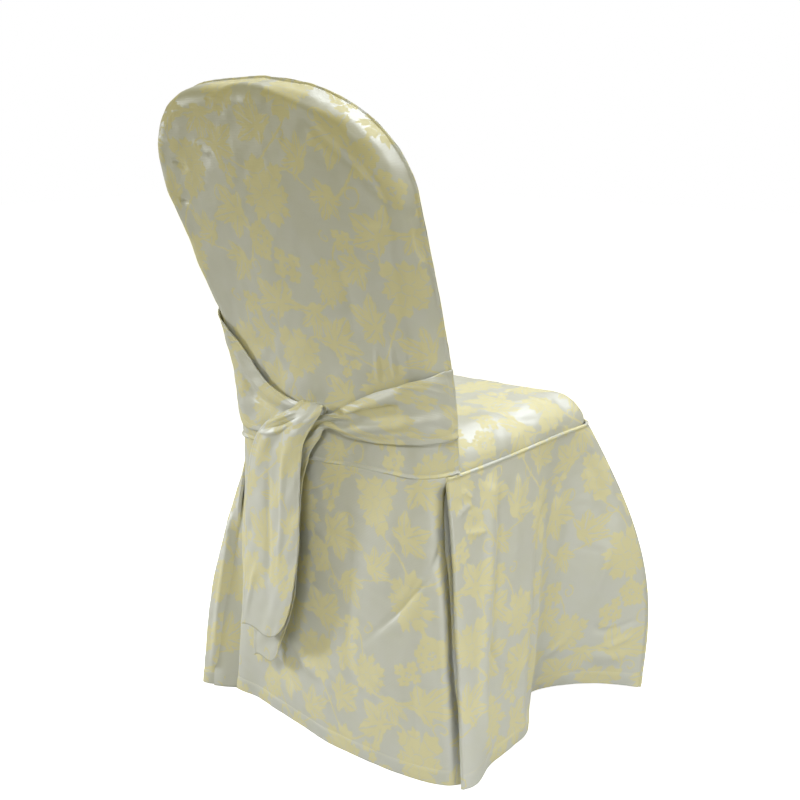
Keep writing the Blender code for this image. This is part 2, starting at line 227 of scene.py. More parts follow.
# The frame's material slots
BACK_SLOT = "back_damask"
SKIRT_SLOT = "skirt_damask"


# Curves and surfaces


def lerp(a, b, t):
    return a + (b - a) * t


def smooth(t):
    """Ease from 0 to 1."""
    t = np.clip(t, 0.0, 1.0)
    return t * t * (3.0 - 2.0 * t)


def read_row(rows, key):
    """All columns of a table at each key, on a curve through its rows."""
    keys = rows[:, 0]
    last = len(rows) - 1
    key = np.clip(key, keys[0], keys[last])
    i = np.clip(np.searchsorted(keys, key) - 1, 0, last - 1)
    low, high = rows[i], rows[i + 1]
    before, after = rows[np.maximum(i - 1, 0)], rows[np.minimum(i + 2, last)]
    span = (high[..., 0] - low[..., 0])[..., None]
    t = ((key - low[..., 0]) / span[..., 0])[..., None]
    rise_low = (high - before) / (high[..., :1] - before[..., :1])
    rise_high = (after - low) / (after[..., :1] - low[..., :1])
    value = (
        (2 * t**3 - 3 * t**2 + 1) * low
        + (t**3 - 2 * t**2 + t) * span * rise_low
        + (3 * t**2 - 2 * t**3) * high
        + (t**3 - t**2) * span * rise_high
    )
    return [value[..., c] for c in range(1, rows.shape[1])]


def place(x, y, z):
    """Points of the cover, with the footprint's middle on the origin."""
    return np.stack(np.broadcast_arrays(x - FOOTPRINT_MIDDLE[0], y - FOOTPRINT_MIDDLE[1], z + FLOOR_LIFT), -1)


def left_draw(x, height):
    """How far the tied sash draws the sitter's left of the back towards the front."""
    return LEFT_DRAW * np.maximum(x, 0.0) * (1.0 - smooth(height / LEFT_DRAW_HEIGHT))


def rings(a, b):
    """Square grid to rings: below b = 0 straight columns, above it half circles."""
    level = np.where(b > 0.0, np.maximum(np.abs(a), b), np.abs(a))
    safe = np.maximum(level, 1e-9)
    u, v = np.clip(a / safe, -1.0, 1.0), np.where(b > 0.0, b / safe, 0.0)
    return level, u * np.sqrt(1.0 - v * v / 2.0), v * np.sqrt(1.0 - u * u / 2.0)


def back_frame(a, b, low):
    """Edge of the back at a ring point, and its directions out, up and in."""
    level, side, rise = rings(a, b)
    _, half, turn, thick = read_row(BACK_PROFILE, low)
    ear = np.where(side > 0.0, EAR_LEFT, EAR_RIGHT)
    swell = 1.0 + ear * (2.0 * side * rise) ** 2
    edge_x = side * (half - turn) * swell
    edge_h = low + rise * ARCH_RISE * swell
    normal_x, normal_h = side / (half - turn), rise / ARCH_RISE
    size = np.maximum(np.hypot(normal_x, normal_h), 1e-9)
    return level, edge_x, edge_h, normal_x / size, normal_h / size, turn, thick


def leaning(base, height, out_x, out_h, deep):
    """Moves points of the back across it, up along it and in through it."""
    lean = BACK_LEAN * smooth((height - LEAN_FROM) / LEAN_OVER)
    move_y = np.sin(lean) * out_h - np.cos(lean) * deep
    move_z = np.cos(lean) * out_h + np.sin(lean) * deep
    return base + np.stack(np.broadcast_arrays(out_x, move_y, move_z), -1)


def back_base(x, height, bow):
    face_y = read_row(BACK_PROFILE, height)[0]
    return place(x, face_y + bow - left_draw(x, height), SEAM_Z + height)


def outside_surface(a, b, stand=0.0):
    """The outside back and its cloth's own plane.

    Level 0 to 1 is the face, 1 to 2 the turn over the edge, and 2 to 3 the thickness of the back.
    """
    low = ARCH_H * (1.0 + np.minimum(b, 0.0))
    level, edge_x, edge_h, normal_x, normal_h, turn, thick = back_frame(a, b, low)
    reach = np.minimum(level, 1.0)
    height = lerp(low, edge_h, reach)
    base = back_base(edge_x * reach, height, BACK_BOW * (1.0 - reach * reach) ** 2)
    angle = math.pi / 2.0 * np.clip(level - 1.0, 0.0, 1.0)
    out = (turn + stand) * np.sin(angle)
    deep = turn - (turn + stand) * np.cos(angle) + np.maximum(level - 2.0, 0.0) * (thick - turn)
    points = leaning(base, height, normal_x * out, normal_h * out, deep)
    over = turn * angle + np.maximum(level - 2.0, 0.0) * (thick - turn)
    flat = np.stack([edge_x * reach + normal_x * over, height + normal_h * over], -1)
    return points, flat


def inside_surface(a, b):
    """The inside back, from its middle (level 0) to the front seam (level 1), and its cloth's plane."""
    low = np.where(b < 0.0, lerp(ARCH_H, seat_rear_height(a), -b), ARCH_H)
    level, edge_x, edge_h, normal_x, normal_h, turn, thick = back_frame(a, b, low)
    height = lerp(low, edge_h, level)
    base = back_base(edge_x * level, height, 0.0)
    puff = INSIDE_PUFF * smooth((1.0 - level) / INSIDE_EDGE)
    out = turn * level**INSIDE_FLARE
    deep = thick + SEAM_GAP + SHEET + puff
    points = leaning(base, height, normal_x * out, normal_h * out, deep)
    return points, np.stack([edge_x * level + normal_x * out, height + normal_h * out], -1)


def round_over(distance):
    """Rise of the padded seat at a distance from its edge, as a share of the crown."""
    return np.sqrt(1.0 - (1.0 - np.clip(distance / SEAT_ROUND, 0.0, 1.0)) ** 2)


def seat_half(y):
    """Half width of the seat top in plan."""
    half = BACK_PROFILE[0][2] - SEAM_INSET
    near_front = np.maximum(SEAT_FRONT_Y + SEAM_INSET + SEAT_TOP_CORNER - y, 0.0)
    return half - SEAT_TOP_CORNER + np.sqrt(np.maximum(SEAT_TOP_CORNER**2 - near_front**2, 0.0))


def seat_crown_at(x, y):
    return SEAT_CROWN * round_over(seat_half(y) - np.abs(x)) * round_over(y - SEAT_FRONT_Y - SEAM_INSET)


def seat_rear_height(a):
    """Height above the seam at which the inside back meets the seat, across the back."""
    _, _, half, turn, _ = BACK_PROFILE[0]
    x = (half - turn) * a + turn * np.sign(a) * np.abs(a) ** INSIDE_FLARE
    return seat_crown_at(x, np.zeros_like(x)) + 2.0 * SEAM_GAP


def seam_height(y):
    """Height of the seat seam: level under the back, then rising to the front."""
    back = BACK_PROFILE[0][1] - BACK_PROFILE[0][4]
    return SEAM_Z + SEAM_RISE * smooth((back - y) / (back - SEAT_FRONT_Y))


def seat_surface(u, v):
    """The seat top: u across, v from the inside back to the front edge."""
    rear, _ = inside_surface(u, -np.ones_like(u))
    rear = rear - np.array([0.0, SEAM_GAP, 2.0 * SEAM_GAP])
    y = lerp(rear[..., 1] + FOOTPRINT_MIDDLE[1], SEAT_FRONT_Y + SEAM_INSET, v)
    rear_x = rear[..., 0] + FOOTPRINT_MIDDLE[0]
    x = np.where(v > 0.0, rear_x / BACK_PROFILE[0][2] * seat_half(y), rear_x)
    top = place(x, y, seam_height(y) - 2.0 * SEAM_GAP + seat_crown_at(x, y))
    return np.where((v > 0.0)[..., None], top, rear)


def seam_line():
    """Right half of the seat seam in plan, from the back's middle to the front's, with its run."""
    _, face_y, half, turn, _ = BACK_PROFILE[0]
    corner = SEAT_FRONT_CORNER
    arc = np.linspace(0.0, math.pi / 2.0, 25)
    across = np.linspace(0.0, 1.0, 33)
    x = [(half - turn) * across, half - turn + turn * np.sin(arc), [half, half]]
    y = [face_y + BACK_BOW * (1.0 - across**2) ** 2, face_y - turn + turn * np.cos(arc)]
    y.append([face_y - turn, SEAT_FRONT_Y + corner])
    x += [half - corner + corner * np.cos(arc), [half - corner, 0.0]]
    y += [SEAT_FRONT_Y + corner - corner * np.sin(arc), [SEAT_FRONT_Y, SEAT_FRONT_Y]]
    line = np.stack([np.concatenate(x), np.concatenate(y)], -1)
    keep = np.concatenate([[True], np.hypot(*np.diff(line, axis=0).T) > 1e-9])
    line = line[keep]
    return line, np.concatenate([[0.0], np.cumsum(np.hypot(*np.diff(line, axis=0).T))])


SEAM_LINE, SEAM_RUN = seam_line()


def on_seam(run):
    """Points of the seat seam's right half at runs along it."""
    return np.interp(run, SEAM_RUN, SEAM_LINE[:, 0]), np.interp(run, SEAM_RUN, SEAM_LINE[:, 1])


def seam_at(station):
    """Place and outward normal on the seat seam."""
    run, side = np.abs(station), -np.sign(station)
    step = 0.002
    x, y = on_seam(run)
    ahead, behind = on_seam(np.minimum(run + step, SEAM_RUN[-1])), on_seam(np.maximum(run - step, 0.0))
    along_x, along_y = ahead[0] - behind[0], ahead[1] - behind[1]
    size = np.hypot(along_x, along_y)
    x = side * x
    drawn = left_draw(x, 0.0) * smooth((y - LEFT_DRAW_FROM_Y) / LEFT_DRAW_OVER_Y)
    return x, y - drawn, -side * along_y / size, along_x / size


def skirt_surface(rows, station, v, stand, from_front=False):
    """A skirt: v = 0 on the seat seam, v = 1 at the hem."""
    hem_x, hem_y, lift, belly = read_row(rows, station)
    if from_front:
        station = np.where(station < 0.0, -1.0, 1.0) * (SEAM_RUN[-1] - np.abs(station))
    x, y, normal_x, normal_y = seam_at(station)
    spread = v**SKIRT_SPREAD
    swing = belly * np.sin(math.pi * v**SKIRT_BELLY) + stand
    top = seam_height(y) - SEAM_GAP
    return place(
        lerp(x, hem_x, spread) + normal_x * swing,
        lerp(y, hem_y, spread) + normal_y * swing,
        lerp(top, lift, v),
    )


def pleat_surface(rows_side, side, fold, v, tuck=0.0):
    """A pleat insert, from inside the back skirt to inside the side skirt."""
    folds = np.column_stack([np.arange(len(PLEAT_FOLDS), dtype=float), PLEAT_FOLDS])
    station, depth_top, depth_hem = (np.interp(fold, folds[:, 0], folds[:, c]) for c in (1, 2, 3))
    clear = lerp(SEAM_GAP, PLEAT_CLEAR, smooth(4.0 * v))
    sunk = SHEET + clear + lerp(depth_top, depth_hem, smooth(2.0 * v)) + tuck
    near = skirt_surface(HEM_BACK, side * np.minimum(station, CORNER_BACK), v, -sunk)
    far = skirt_surface(rows_side, side * np.maximum(station, CORNER_SIDE), v, -sunk)
    return lerp(near, far, smooth((station - CORNER_BACK) / 0.025)[..., None])


def tie_surface(rows, run, across):
    """A tie: across = 0 on its lower edge, 1 on its upper edge."""
    upper, upper_height, lower, lower_height, off, pleat = read_row(rows, run)
    level = lerp(lower, upper, across)
    height = lerp(lower_height, upper_height, across)
    tail_end = smooth((run - TIE_POINT_FROM) / (1.0 - TIE_POINT_FROM))
    height = height - TIE_POINT * tail_end * np.sin(math.pi * across) * lerp(*TIE_POINT_SLANT, across)
    lift = off - pleat * np.cos(2.0 * math.pi * TIE_FOLDS * across)
    return outside_surface(-level, height / ARCH_H - 1.0, lift)[0]


# Cloth


def along(points, axis):
    """Running length of a grid of points along an axis."""
    steps = np.linalg.norm(np.diff(points, axis=axis), axis=-1)
    start = np.zeros_like(np.take(steps, [0], axis=axis))
    return np.concatenate([start, np.cumsum(steps, axis=axis)], axis=axis)


def from_end(points, axis):
    """Running length of a grid of points, counted from its other end."""
    return np.flip(along(np.flip(points, axis), axis), axis)


def cloth_plane(points, middle):
    """The flat cloth's own coordinates: across from a middle column, and up from the last row."""
    across = along(points, 1)
    across = across - across[:, [middle]]
    down = along(points, 0)
    return np.stack([across, np.broadcast_to(down[-1:, :] - down, across.shape)], -1)


def surface_normals(points):
    """Unit normals of a grid of points.

    They point outwards where the rows run down and the columns to the sitter's right.
    """
    down = np.gradient(points, axis=0)
    across = np.gradient(points, axis=1)
    normal = np.cross(across, down)
    return normal / np.maximum(np.linalg.norm(normal, axis=-1, keepdims=True), 1e-12)


def curve_points(path, count=18):
    """Points on a smooth curve through a fold's few points."""
    path = np.array(path, float)
    if len(path) == 2:
        return lerp(path[0], path[1], np.linspace(0.0, 1.0, count)[:, None])
    keys = np.linspace(0.0, 1.0, len(path))
    rows = np.column_stack([keys, path])
    return np.stack(read_row(rows, np.linspace(0.0, 1.0, count)), -1)


def ridge(distance, middle, width):
    """A soft ridge of height 1, at a distance from an edge or a line."""
    return np.exp(-(((distance - middle) / width) ** 2))


def fold_relief(plane, folds):
    """Height of ridges (above 0) and troughs (below 0) along curves on the cloth, given in millimetres."""
    relief = np.zeros(plane.shape[:-1])
    for height, width, fade, *path in folds:
        points = curve_points(path) / 1000.0
        nearest = np.full(relief.shape, 9.0)
        position = np.zeros(relief.shape)
        side = np.zeros(relief.shape)
        for k, (start, end) in enumerate(zip(points, points[1:])):
            step = end - start
            t = np.clip(((plane - start) @ step) / max(step @ step, 1e-12), 0.0, 1.0)
            away = plane - start - t[..., None] * step
            distance = np.hypot(away[..., 0], away[..., 1])
            closer = distance < nearest
            nearest = np.where(closer, distance, nearest)
            position = np.where(closer, (k + t) / (len(points) - 1), position)
            side = np.where(closer, step[0] * away[..., 1] - step[1] * away[..., 0], side)
        ends = smooth(position / fade) * smooth((1.0 - position) / fade) if fade else 1.0
        relief += height / 1000.0 * ridge(nearest, 0.0, width / 1000.0) * ends
    return relief


def ripple(plane, size, seed, stretch=(1.0, 1.0)):
    """Slow unevenness between about -1 and 1, the same on every run."""
    random = np.random.default_rng(seed)
    total = np.zeros(plane.shape[:-1])
    waves = 14
    for _ in range(waves):
        angle, phase = random.uniform(0.0, 2.0 * math.pi, 2)
        length = size * random.uniform(0.6, 1.8)
        total += np.sin(
            2.0 * math.pi / length
            * (plane[..., 0] / stretch[0] * math.cos(angle) + plane[..., 1] / stretch[1] * math.sin(angle))
            + phase
        )
    return total / math.sqrt(waves)


def cloth_piece(name, points, plane, node, slot, held, rests_on, outward=True, cut=None):
    """A cloth sheet in place of a node, from a grid of points, with its plane as the UV map in metres."""
    rows, cols = points.shape[:2]
    corner = np.arange(rows * cols).reshape(rows, cols)
    quads = np.stack([corner[:-1, :-1], corner[:-1, 1:], corner[1:, 1:], corner[1:, :-1]], -1).reshape(-1, 4)
    if not outward:
        quads = quads[:, ::-1]
    mesh = bpy.data.meshes.new(name)
    mesh.from_pydata(points.reshape(-1, 3).tolist(), [], quads.tolist())
    mesh.uv_layers.new(name="cloth")
    order = np.empty(len(mesh.loops), dtype=np.int32)
    mesh.loops.foreach_get("vertex_index", order)
    mesh.uv_layers["cloth"].data.foreach_set("uv", plane.reshape(-1, 2)[order].ravel())
    mesh.shade_smooth()
    mesh.materials.append(damask())
    piece = bpy.data.objects.new(name, mesh)
    bpy.context.scene.collection.objects.link(piece)
    solid = piece.modifiers.new("cloth thickness", "SOLIDIFY")
    solid.thickness = bpy.context.scene.chair_cover.cloth.thickness
    solid.offset = -1.0
    solid.use_rim = True

    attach(piece, "root")
    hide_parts(node)
    cut = points if cut is None else cut
    width, length = float(along(cut, 1)[:, -1].max()), float(along(cut, 0)[-1, :].max())


# Shader


def maths(operation, swapped=False):
    """A method of Number that adds one maths node; swapped puts the number after the other value."""

    def method(self, *others):
        values = [*others, self] if swapped else [self, *others]
        node = self.shader.node("ShaderNodeMath", {"operation": operation}, dict(enumerate(values)))
        return Number(self.shader, node.outputs[0])

    return method


class Number:
    """A value in a shader, so that shader maths reads as Python."""

    def __init__(self, shader, socket):
        self.shader = shader
        self.socket = socket

    __add__ = __radd__ = maths("ADD")
    __sub__ = maths("SUBTRACT")
    __rsub__ = maths("SUBTRACT", swapped=True)
    __mul__ = __rmul__ = maths("MULTIPLY")
    __truediv__ = maths("DIVIDE")
    __abs__ = maths("ABSOLUTE")
    most = maths("MAXIMUM")
    least = maths("MINIMUM")
    sine = maths("SINE")
    cosine = maths("COSINE")
    fraction = maths("FRACT")
    modulo = maths("FLOORED_MODULO")

    def clamped(self):
        node = self.shader.node("ShaderNodeClamp", {}, {0: self})
        return Number(self.shader, node.outputs[0])


class Nodes:
    """A node tree, with one way to add a node."""

    def __init__(self, tree):
        self.tree = tree

    def feed(self, socket, value):
        if isinstance(value, Number):
            self.tree.links.new(value.socket, socket)
        elif isinstance(value, bpy.types.NodeSocket):
            self.tree.links.new(value, socket)
        else:
            socket.default_value = value

    def node(self, kind, settings, inputs):
        node = self.tree.nodes.new(kind)
        for name, value in settings.items():
            setattr(node, name, value)
        for key, value in inputs.items():
            self.feed(node.inputs[key], value)
        return node


class Shader(Nodes):
    """A material's node tree."""

    def __init__(self, name):
        self.material = bpy.data.materials.new(name)
        self.material.use_nodes = True
        super().__init__(self.material.node_tree)
        self.surface = self.tree.nodes["Principled BSDF"]

    def number(self, socket):
        return Number(self, socket)

    def vector(self, operation, *values):
        return self.node("ShaderNodeVectorMath", {"operation": operation}, dict(enumerate(values))).outputs[0]

    def length(self, vector):
        node = self.node("ShaderNodeVectorMath", {"operation": "LENGTH"}, {0: vector})
        return Number(self, node.outputs["Value"])

    def direction(self, vector):
        """Direction of a vector, as a share of a turn."""
        node = self.node("ShaderNodeTexGradient", {"gradient_type": "RADIAL"}, {0: vector})
        return Number(self, node.outputs[1])

    def noise(self, where, scale, detail):
        inputs = {"Vector": where, "Scale": scale, "Detail": detail}
        return self.node("ShaderNodeTexNoise", {"noise_dimensions": "2D"}, inputs)

    def colours(self, factor, first, second):
        node = self.node("ShaderNodeMix", {"data_type": "RGBA"}, {0: factor})
        self.feed(node.inputs[6], first)
        self.feed(node.inputs[7], second)
        return node.outputs[2]


# The damask's repeat, in millimetres. It stands askew on the cloth, so its rows shift as a half drop's do.
TILE = (236.0, 300.0)
TILE_TURN = math.radians(27.0)
LINE = 0.9
STOPS = 128
STEP = 2.0 * math.pi / STOPS
LOBES_BROAD = [
    # direction and half width in steps round the leaf's base, and length
    (1, 15, 1.0), (23, 14, 0.9), (-20, 14, 0.86), (43, 13, 0.62), (-41, 13, 0.6),
]
LOBES_LONG = [
    (-1, 11, 1.0), (16, 10, 0.84), (-17, 10, 0.8), (33, 11, 0.62), (-35, 11, 0.56),
]
BLOOMS = [
    # x, y, reach, turn, petals, seed
    (60.0, 72.0, 51.0, 0.4, 8, 5),
    (178.0, 166.0, 49.0, 1.7, 7, 6),
    (56.0, 226.0, 44.0, 3.0, 8, 7),
]
LEAVES = [
    # x, y, reach, turn, lobes
    (134.0, 74.0, 54.0, 14.0, LOBES_BROAD),
    (104.0, 158.0, 50.0, 158.0, LOBES_BROAD),
    (212.0, 76.0, 49.0, 68.0, LOBES_LONG),
    (160.0, 240.0, 56.0, 74.0, LOBES_BROAD),
    (112.0, 216.0, 46.0, -66.0, LOBES_LONG),
    (14.0, 150.0, 48.0, 50.0, LOBES_BROAD),
    (186.0, 26.0, 45.0, -24.0, LOBES_LONG),
    (226.0, 226.0, 42.0, -20.0, LOBES_BROAD),
]
SPRAYS = [
    # x, y, reach, turn, small flowers
    (116.0, 24.0, 25.0, 0.2, 5),
    (220.0, 266.0, 22.0, 1.0, 4),
    (102.0, 280.0, 23.0, 2.2, 4),
    (104.0, 118.0, 19.0, 0.9, 3),
]
CURLS = [
    # x, y, inner radius, outer radius, turn
    (150.0, 110.0, 3.0, 13.0, 0.2),
    (226.0, 126.0, 3.0, 12.0, 2.4),
    (158.0, 8.0, 3.0, 14.0, 4.0),
    (12.0, 284.0, 2.5, 11.0, 1.1),
    (196.0, 222.0, 2.5, 12.0, 5.2),
    (84.0, 176.0, 2.5, 11.0, 3.4),
]
VINES = [
    # mean height and swing as shares of the tile's height, waves, shift, half width
    (0.16, 0.1, 1, 0.1, 1.3),
    (0.47, 0.12, 1, 0.62, 1.2),
    (0.8, 0.095, 1, 0.35, 1.3),
]


def angle_gap(angle, direction):
    """Size of the angle between two directions."""
    return np.abs((angle - direction + math.pi) % (2.0 * math.pi) - math.pi)


def leaf_functions(turn, lobes):
    """A toothed leaf about its base: its outline, and the angles to the nearest rib and side rib."""

    def read(angle):
        rows = []
        for direction, half, length in lobes:
            middle = (direction + round(math.radians(turn) / STEP)) * STEP
            away = angle_gap(angle, middle) / STEP
            share = np.minimum(away / half, 1.0)
            body = np.cos(0.5 * math.pi * share) ** 0.38 * (1.0 - 0.20 * share)
            tooth = 0.4 * half
            teeth = 1.0 - 0.17 * ((away / tooth) % 1.0)
            side = np.abs(away - np.round(tooth))
            rows.append((length * body * teeth, away, side))
        reaches, ribs, sides = np.array(rows).transpose(1, 0, 2)
        best = reaches.argmax(0)
        pick = np.arange(len(angle))
        scale = STEP / math.pi
        return np.maximum(reaches[best, pick], 0.25), ribs[best, pick] * scale, sides[best, pick] * scale

    return read


def bloom_functions(turn, petals, seed):
    """A full flower: its ragged outline, the ring of its inner petals, and the angle to a gap between petals."""
    random = np.random.default_rng(seed)
    widths = random.uniform(0.7, 1.3, petals)
    lengths = random.uniform(0.76, 1.0, petals)
    gaps = np.round(np.append(0.0, np.cumsum(widths)) / widths.sum() * STOPS)

    def read(angle):
        steps_round = (angle / STEP - round(turn / STEP)) % STOPS
        wave = np.interp(steps_round, gaps, np.arange(petals + 1.0))
        petal = np.minimum(wave.astype(int), petals - 1)
        within = wave - petal
        gap = np.minimum(steps_round - gaps[petal], gaps[petal + 1] - steps_round)
        top = 1.0 - 0.20 * np.abs(2.0 * within - 1.0) ** 1.4
        fringe = 1.0 - 0.15 * np.abs((3.0 * within) % 1.0 - 0.5) * 2.0
        cut = 1.0 - 0.26 * np.exp(-((gap / 1.2) ** 2))
        ring = 0.50 + 0.16 * np.abs(2.0 * within - 1.0) ** 1.4
        return lengths[petal] * top * fringe * cut, ring, gap * STEP / math.pi

    return read


def floret_functions(angle):
    """A small flower of five petals: its outline."""
    return (0.56 + 0.44 * np.abs(np.cos(2.5 * angle)) ** 0.7,)


def looked_up(shader, share, functions):
    """Up to three functions of a share from 0 to 1, read from one set of curves."""
    node = shader.node("ShaderNodeRGBCurve", {}, {1: share})
    stops = np.linspace(0.0, 1.0, STOPS + 1)
    for curve, values in zip(node.mapping.curves, functions(stops)):
        values = np.clip(values, 0.0, 1.0)
        curve.points[0].location = (0.0, values[0])
        curve.points[-1].location = (1.0, values[-1])
        for stop, value in zip(stops[1:-1], values[1:-1]):
            curve.points.new(stop, value)
        for point in curve.points:
            point.handle_type = "VECTOR"
    node.mapping.update()
    split = shader.node("ShaderNodeSeparateColor", {}, {0: node.outputs[0]})
    return [shader.number(output) for output in split.outputs]


def motif_at(shader, where, x, y):
    """The nearest repeat of a motif: distance from it, and direction as a share of a turn."""
    moved = shader.vector("SUBTRACT", where, (x, y, 0.0))
    half = (TILE[0] / 2.0, TILE[1] / 2.0, 1.0)
    local = shader.vector("WRAP", moved, half, (-half[0], -half[1], -1.0))
    turn = shader.direction(local)
    return shader.length(local), turn


def around(read):
    """A function of an angle, as one of the share of a turn that a radial gradient gives."""
    return lambda share: read((share - 0.5) * 2.0 * math.pi)


def bloom(shader, where, x, y, reach, turn, petals, seed):
    distance, share = motif_at(shader, where, x, y)
    outer, middle, gap = looked_up(shader, share, around(bloom_functions(turn, petals, seed)))
    inside = outer * reach - distance
    within_ring = middle * reach - distance
    ring = abs(within_ring) - LINE * 0.6
    core = abs(reach * 0.16 - distance) - LINE * 0.5
    between = (gap * distance * math.pi - LINE * 0.4).most(within_ring + 2.0)
    turned = abs((share * 7.0).fraction() - 0.5) * (distance * (2.0 * math.pi / 7.0)) - LINE * 0.4
    folded = turned.most(0.0 - within_ring).most(reach * 0.2 - distance)
    return inside.least(ring).least(core).least(between).least(folded)


def leaf(shader, where, x, y, reach, turn, lobes):
    distance, share = motif_at(shader, where, x, y)
    outer, rib, side = looked_up(shader, share, around(leaf_functions(turn, lobes)))
    inside = outer * reach - distance
    ribs = (rib * distance * math.pi - LINE).most(reach * 0.14 - distance)
    sides = (side * distance * math.pi - LINE * 0.8).most(reach * 0.44 - distance)
    return inside.least(ribs).least(sides)


def spray(shader, where, x, y, reach, turn, florets):
    """Small flowers on stalks round a point."""
    distance, share = motif_at(shader, where, x, y)
    swing = (((share + turn / (2.0 * math.pi)) * florets).fraction() - 0.5) * (2.0 * math.pi / florets)
    across = distance * swing.sine()
    out = distance * swing.cosine() - reach * 0.6
    local = shader.node("ShaderNodeCombineXYZ", {}, {0: out, 1: across, 2: 0.0}).outputs[0]
    outline = looked_up(shader, shader.direction(local), around(floret_functions))[0] * (reach * 0.47)
    radius = shader.length(local)
    floret = (outline - radius).least(radius - reach * 0.07)
    stalk = (1.1 - abs(across)).least(0.0 - out)
    return floret.most(stalk)


def curl(shader, where, x, y, inner, outer, turn):
    distance, share = motif_at(shader, where, x, y)
    share = (share + turn / (2.0 * math.pi)).fraction()
    return 1.1 - abs(share * (outer - inner) + inner - distance)


def vines(shader, where):
    """Long winding stems across the tile."""
    split = shader.node("ShaderNodeSeparateXYZ", {}, {0: where})
    x = (shader.number(split.outputs[0]) / TILE[0]).fraction()
    y = shader.number(split.outputs[1]).modulo(TILE[1])

    def winding(share):
        return [
            mean
            + swing * np.sin(2.0 * math.pi * (waves * share + shift))
            + 0.3 * swing * np.sin(4.0 * math.pi * share + 1.0)
            for mean, swing, waves, shift, _ in VINES
        ]

    heights = looked_up(shader, x, winding)
    bands = [row[-1] - abs(height * TILE[1] - y) * 0.7 for height, row in zip(heights, VINES)]
    return bands[0].most(bands[1]).most(bands[2])


def damask_figure(shader, where):
    """Height in millimetres inside the woven flowers, leaves and stems, and below 0 on the ground."""
    wobble = shader.noise(where, 0.16, 1.5)
    drift = shader.noise(where, 0.011, 0.0)
    wobble = shader.vector("MULTIPLY_ADD", wobble.outputs[1], (3.6, 3.6, 0.0), where)
    where = shader.vector("MULTIPLY_ADD", drift.outputs[1], (26.0, 26.0, 0.0), wobble)
    turned = shader.node("ShaderNodeMapping", {}, {0: where, 2: (0.0, 0.0, TILE_TURN)}).outputs[0]
    height = vines(shader, turned)
    for maker, rows in ((bloom, BLOOMS), (leaf, LEAVES), (spray, SPRAYS), (curl, CURLS)):
        for row in rows:
            height = height.most(maker(shader, turned, *row))
    return height


def damask():
    """The cover's one cloth."""
    return bpy.data.materials.get("damask") or damask_material()


def damask_material():
    settings = bpy.context.scene.chair_cover.damask
    shader = Shader("damask")
    uv = shader.node("ShaderNodeUVMap", {"uv_map": "cloth"}, {}).outputs[0]
    where = shader.node("ShaderNodeVectorMath", {"operation": "SCALE"}, {0: uv, 3: 1000.0}).outputs[0]
    figure = (damask_figure(shader, where) / 1.1 + 0.5).clamped()
    patchy = shader.noise(where, 0.02, 2.0).outputs[0]
    ground = shader.colours(patchy, (*settings.ground_colour, 1.0), (*settings.ground_warm, 1.0))
    colour = shader.colours(figure, ground, (*settings.figure_colour, 1.0))
    shader.feed(shader.surface.inputs["Base Color"], colour)
    rough = settings.ground_roughness + figure * (settings.figure_roughness - settings.ground_roughness)
    shader.feed(shader.surface.inputs["Roughness"], rough)
    lustre = settings.ground_metallic - figure * settings.ground_metallic
    shader.feed(shader.surface.inputs["Metallic"], lustre)
    split = shader.node("ShaderNodeSeparateXYZ", {}, {0: where})
    rib = (shader.number(split.outputs[1]) * (2.0 * math.pi / settings.rib_spacing)).sine()
    thread = (shader.number(split.outputs[0]) * (2.0 * math.pi / settings.thread_spacing)).sine()
    relief = {"Strength": 0.3, "Distance": settings.weave_depth, "Height": rib * 0.7 + thread * 0.3}
    bump = shader.node("ShaderNodeBump", {}, relief)
    shader.feed(shader.surface.inputs["Normal"], bump.outputs[0])
    shader.surface.inputs["Sheen Weight"].default_value = settings.sheen
    shader.surface.inputs["Sheen Roughness"].default_value = 0.4
    shader.surface.inputs["Specular IOR Level"].default_value = settings.gloss
    return shader.material


# Settings


def number(name, about, value, **kind):
    return FloatProperty(name=name, description=about, default=value, **kind)


def length(name, about, value):
    return number(name, about, value, unit="LENGTH")


def share(name, about, value):
    return number(name, about, value, subtype="FACTOR")


def power(name, about, value):
    return number(name, about, value, unit="POWER")


def tint(name, about, value):
    return FloatVectorProperty(name=name, description=about, subtype="COLOR", size=3, default=value)


class ClothSettings(bpy.types.PropertyGroup):
    thickness: length("Cloth thickness", "Thickness of one layer of cloth", 0.0013)
    fineness: length("Grid spacing", "Distance between the points that carry the folds", 0.0033)
    unevenness: length("Unevenness", "Height of the slow waves in hanging cloth", 0.0010)
    hem_width: length("Hem width", "Width of the turned hem", 0.022)
    welt: length("Welt", "Height of the ridge along a seam", 0.0018)
    stitch_pitch: length("Stitch pitch", "Distance from one stitch to the next", 0.0034)
    stitch_length: length("Stitch length", "Length of one stitch", 0.0025)
    thread: length("Thread", "Thickness of the sewing thread", 0.0006)


class DamaskSettings(bpy.types.PropertyGroup):
    ground_colour: tint("Ground colour", "Colour of the satin ground", (0.67, 0.69, 0.725))
    ground_warm: tint("Warm ground colour", "The ground's colour in its warmer patches", (0.66, 0.68, 0.66))
    figure_colour: tint("Flower colour", "Colour of the woven flowers", (0.735, 0.705, 0.485))
    thread_colour: tint("Thread colour", "Colour of the sewing thread", (0.80, 0.78, 0.62))
    ground_metallic: share("Ground lustre", "How much the satin ground mirrors the light", 0.24)
    ground_roughness: share("Ground roughness", "Roughness of the satin ground", 0.50)
    figure_roughness: share("Flower roughness", "Roughness of the woven flowers", 0.72)
    rib_spacing: number("Rib spacing", "Distance between ribs of the weave in millimetres", 2.2)
    thread_spacing: number("Thread spacing", "Distance between warp threads in millimetres", 1.1)
    weave_depth: length("Weave depth", "Height of the weave's relief", 0.0002)
    sheen: share("Sheen", "Soft sheen of the cloth at its edges", 0.15)
    gloss: share("Gloss", "Strength of the satin's highlights", 0.55)


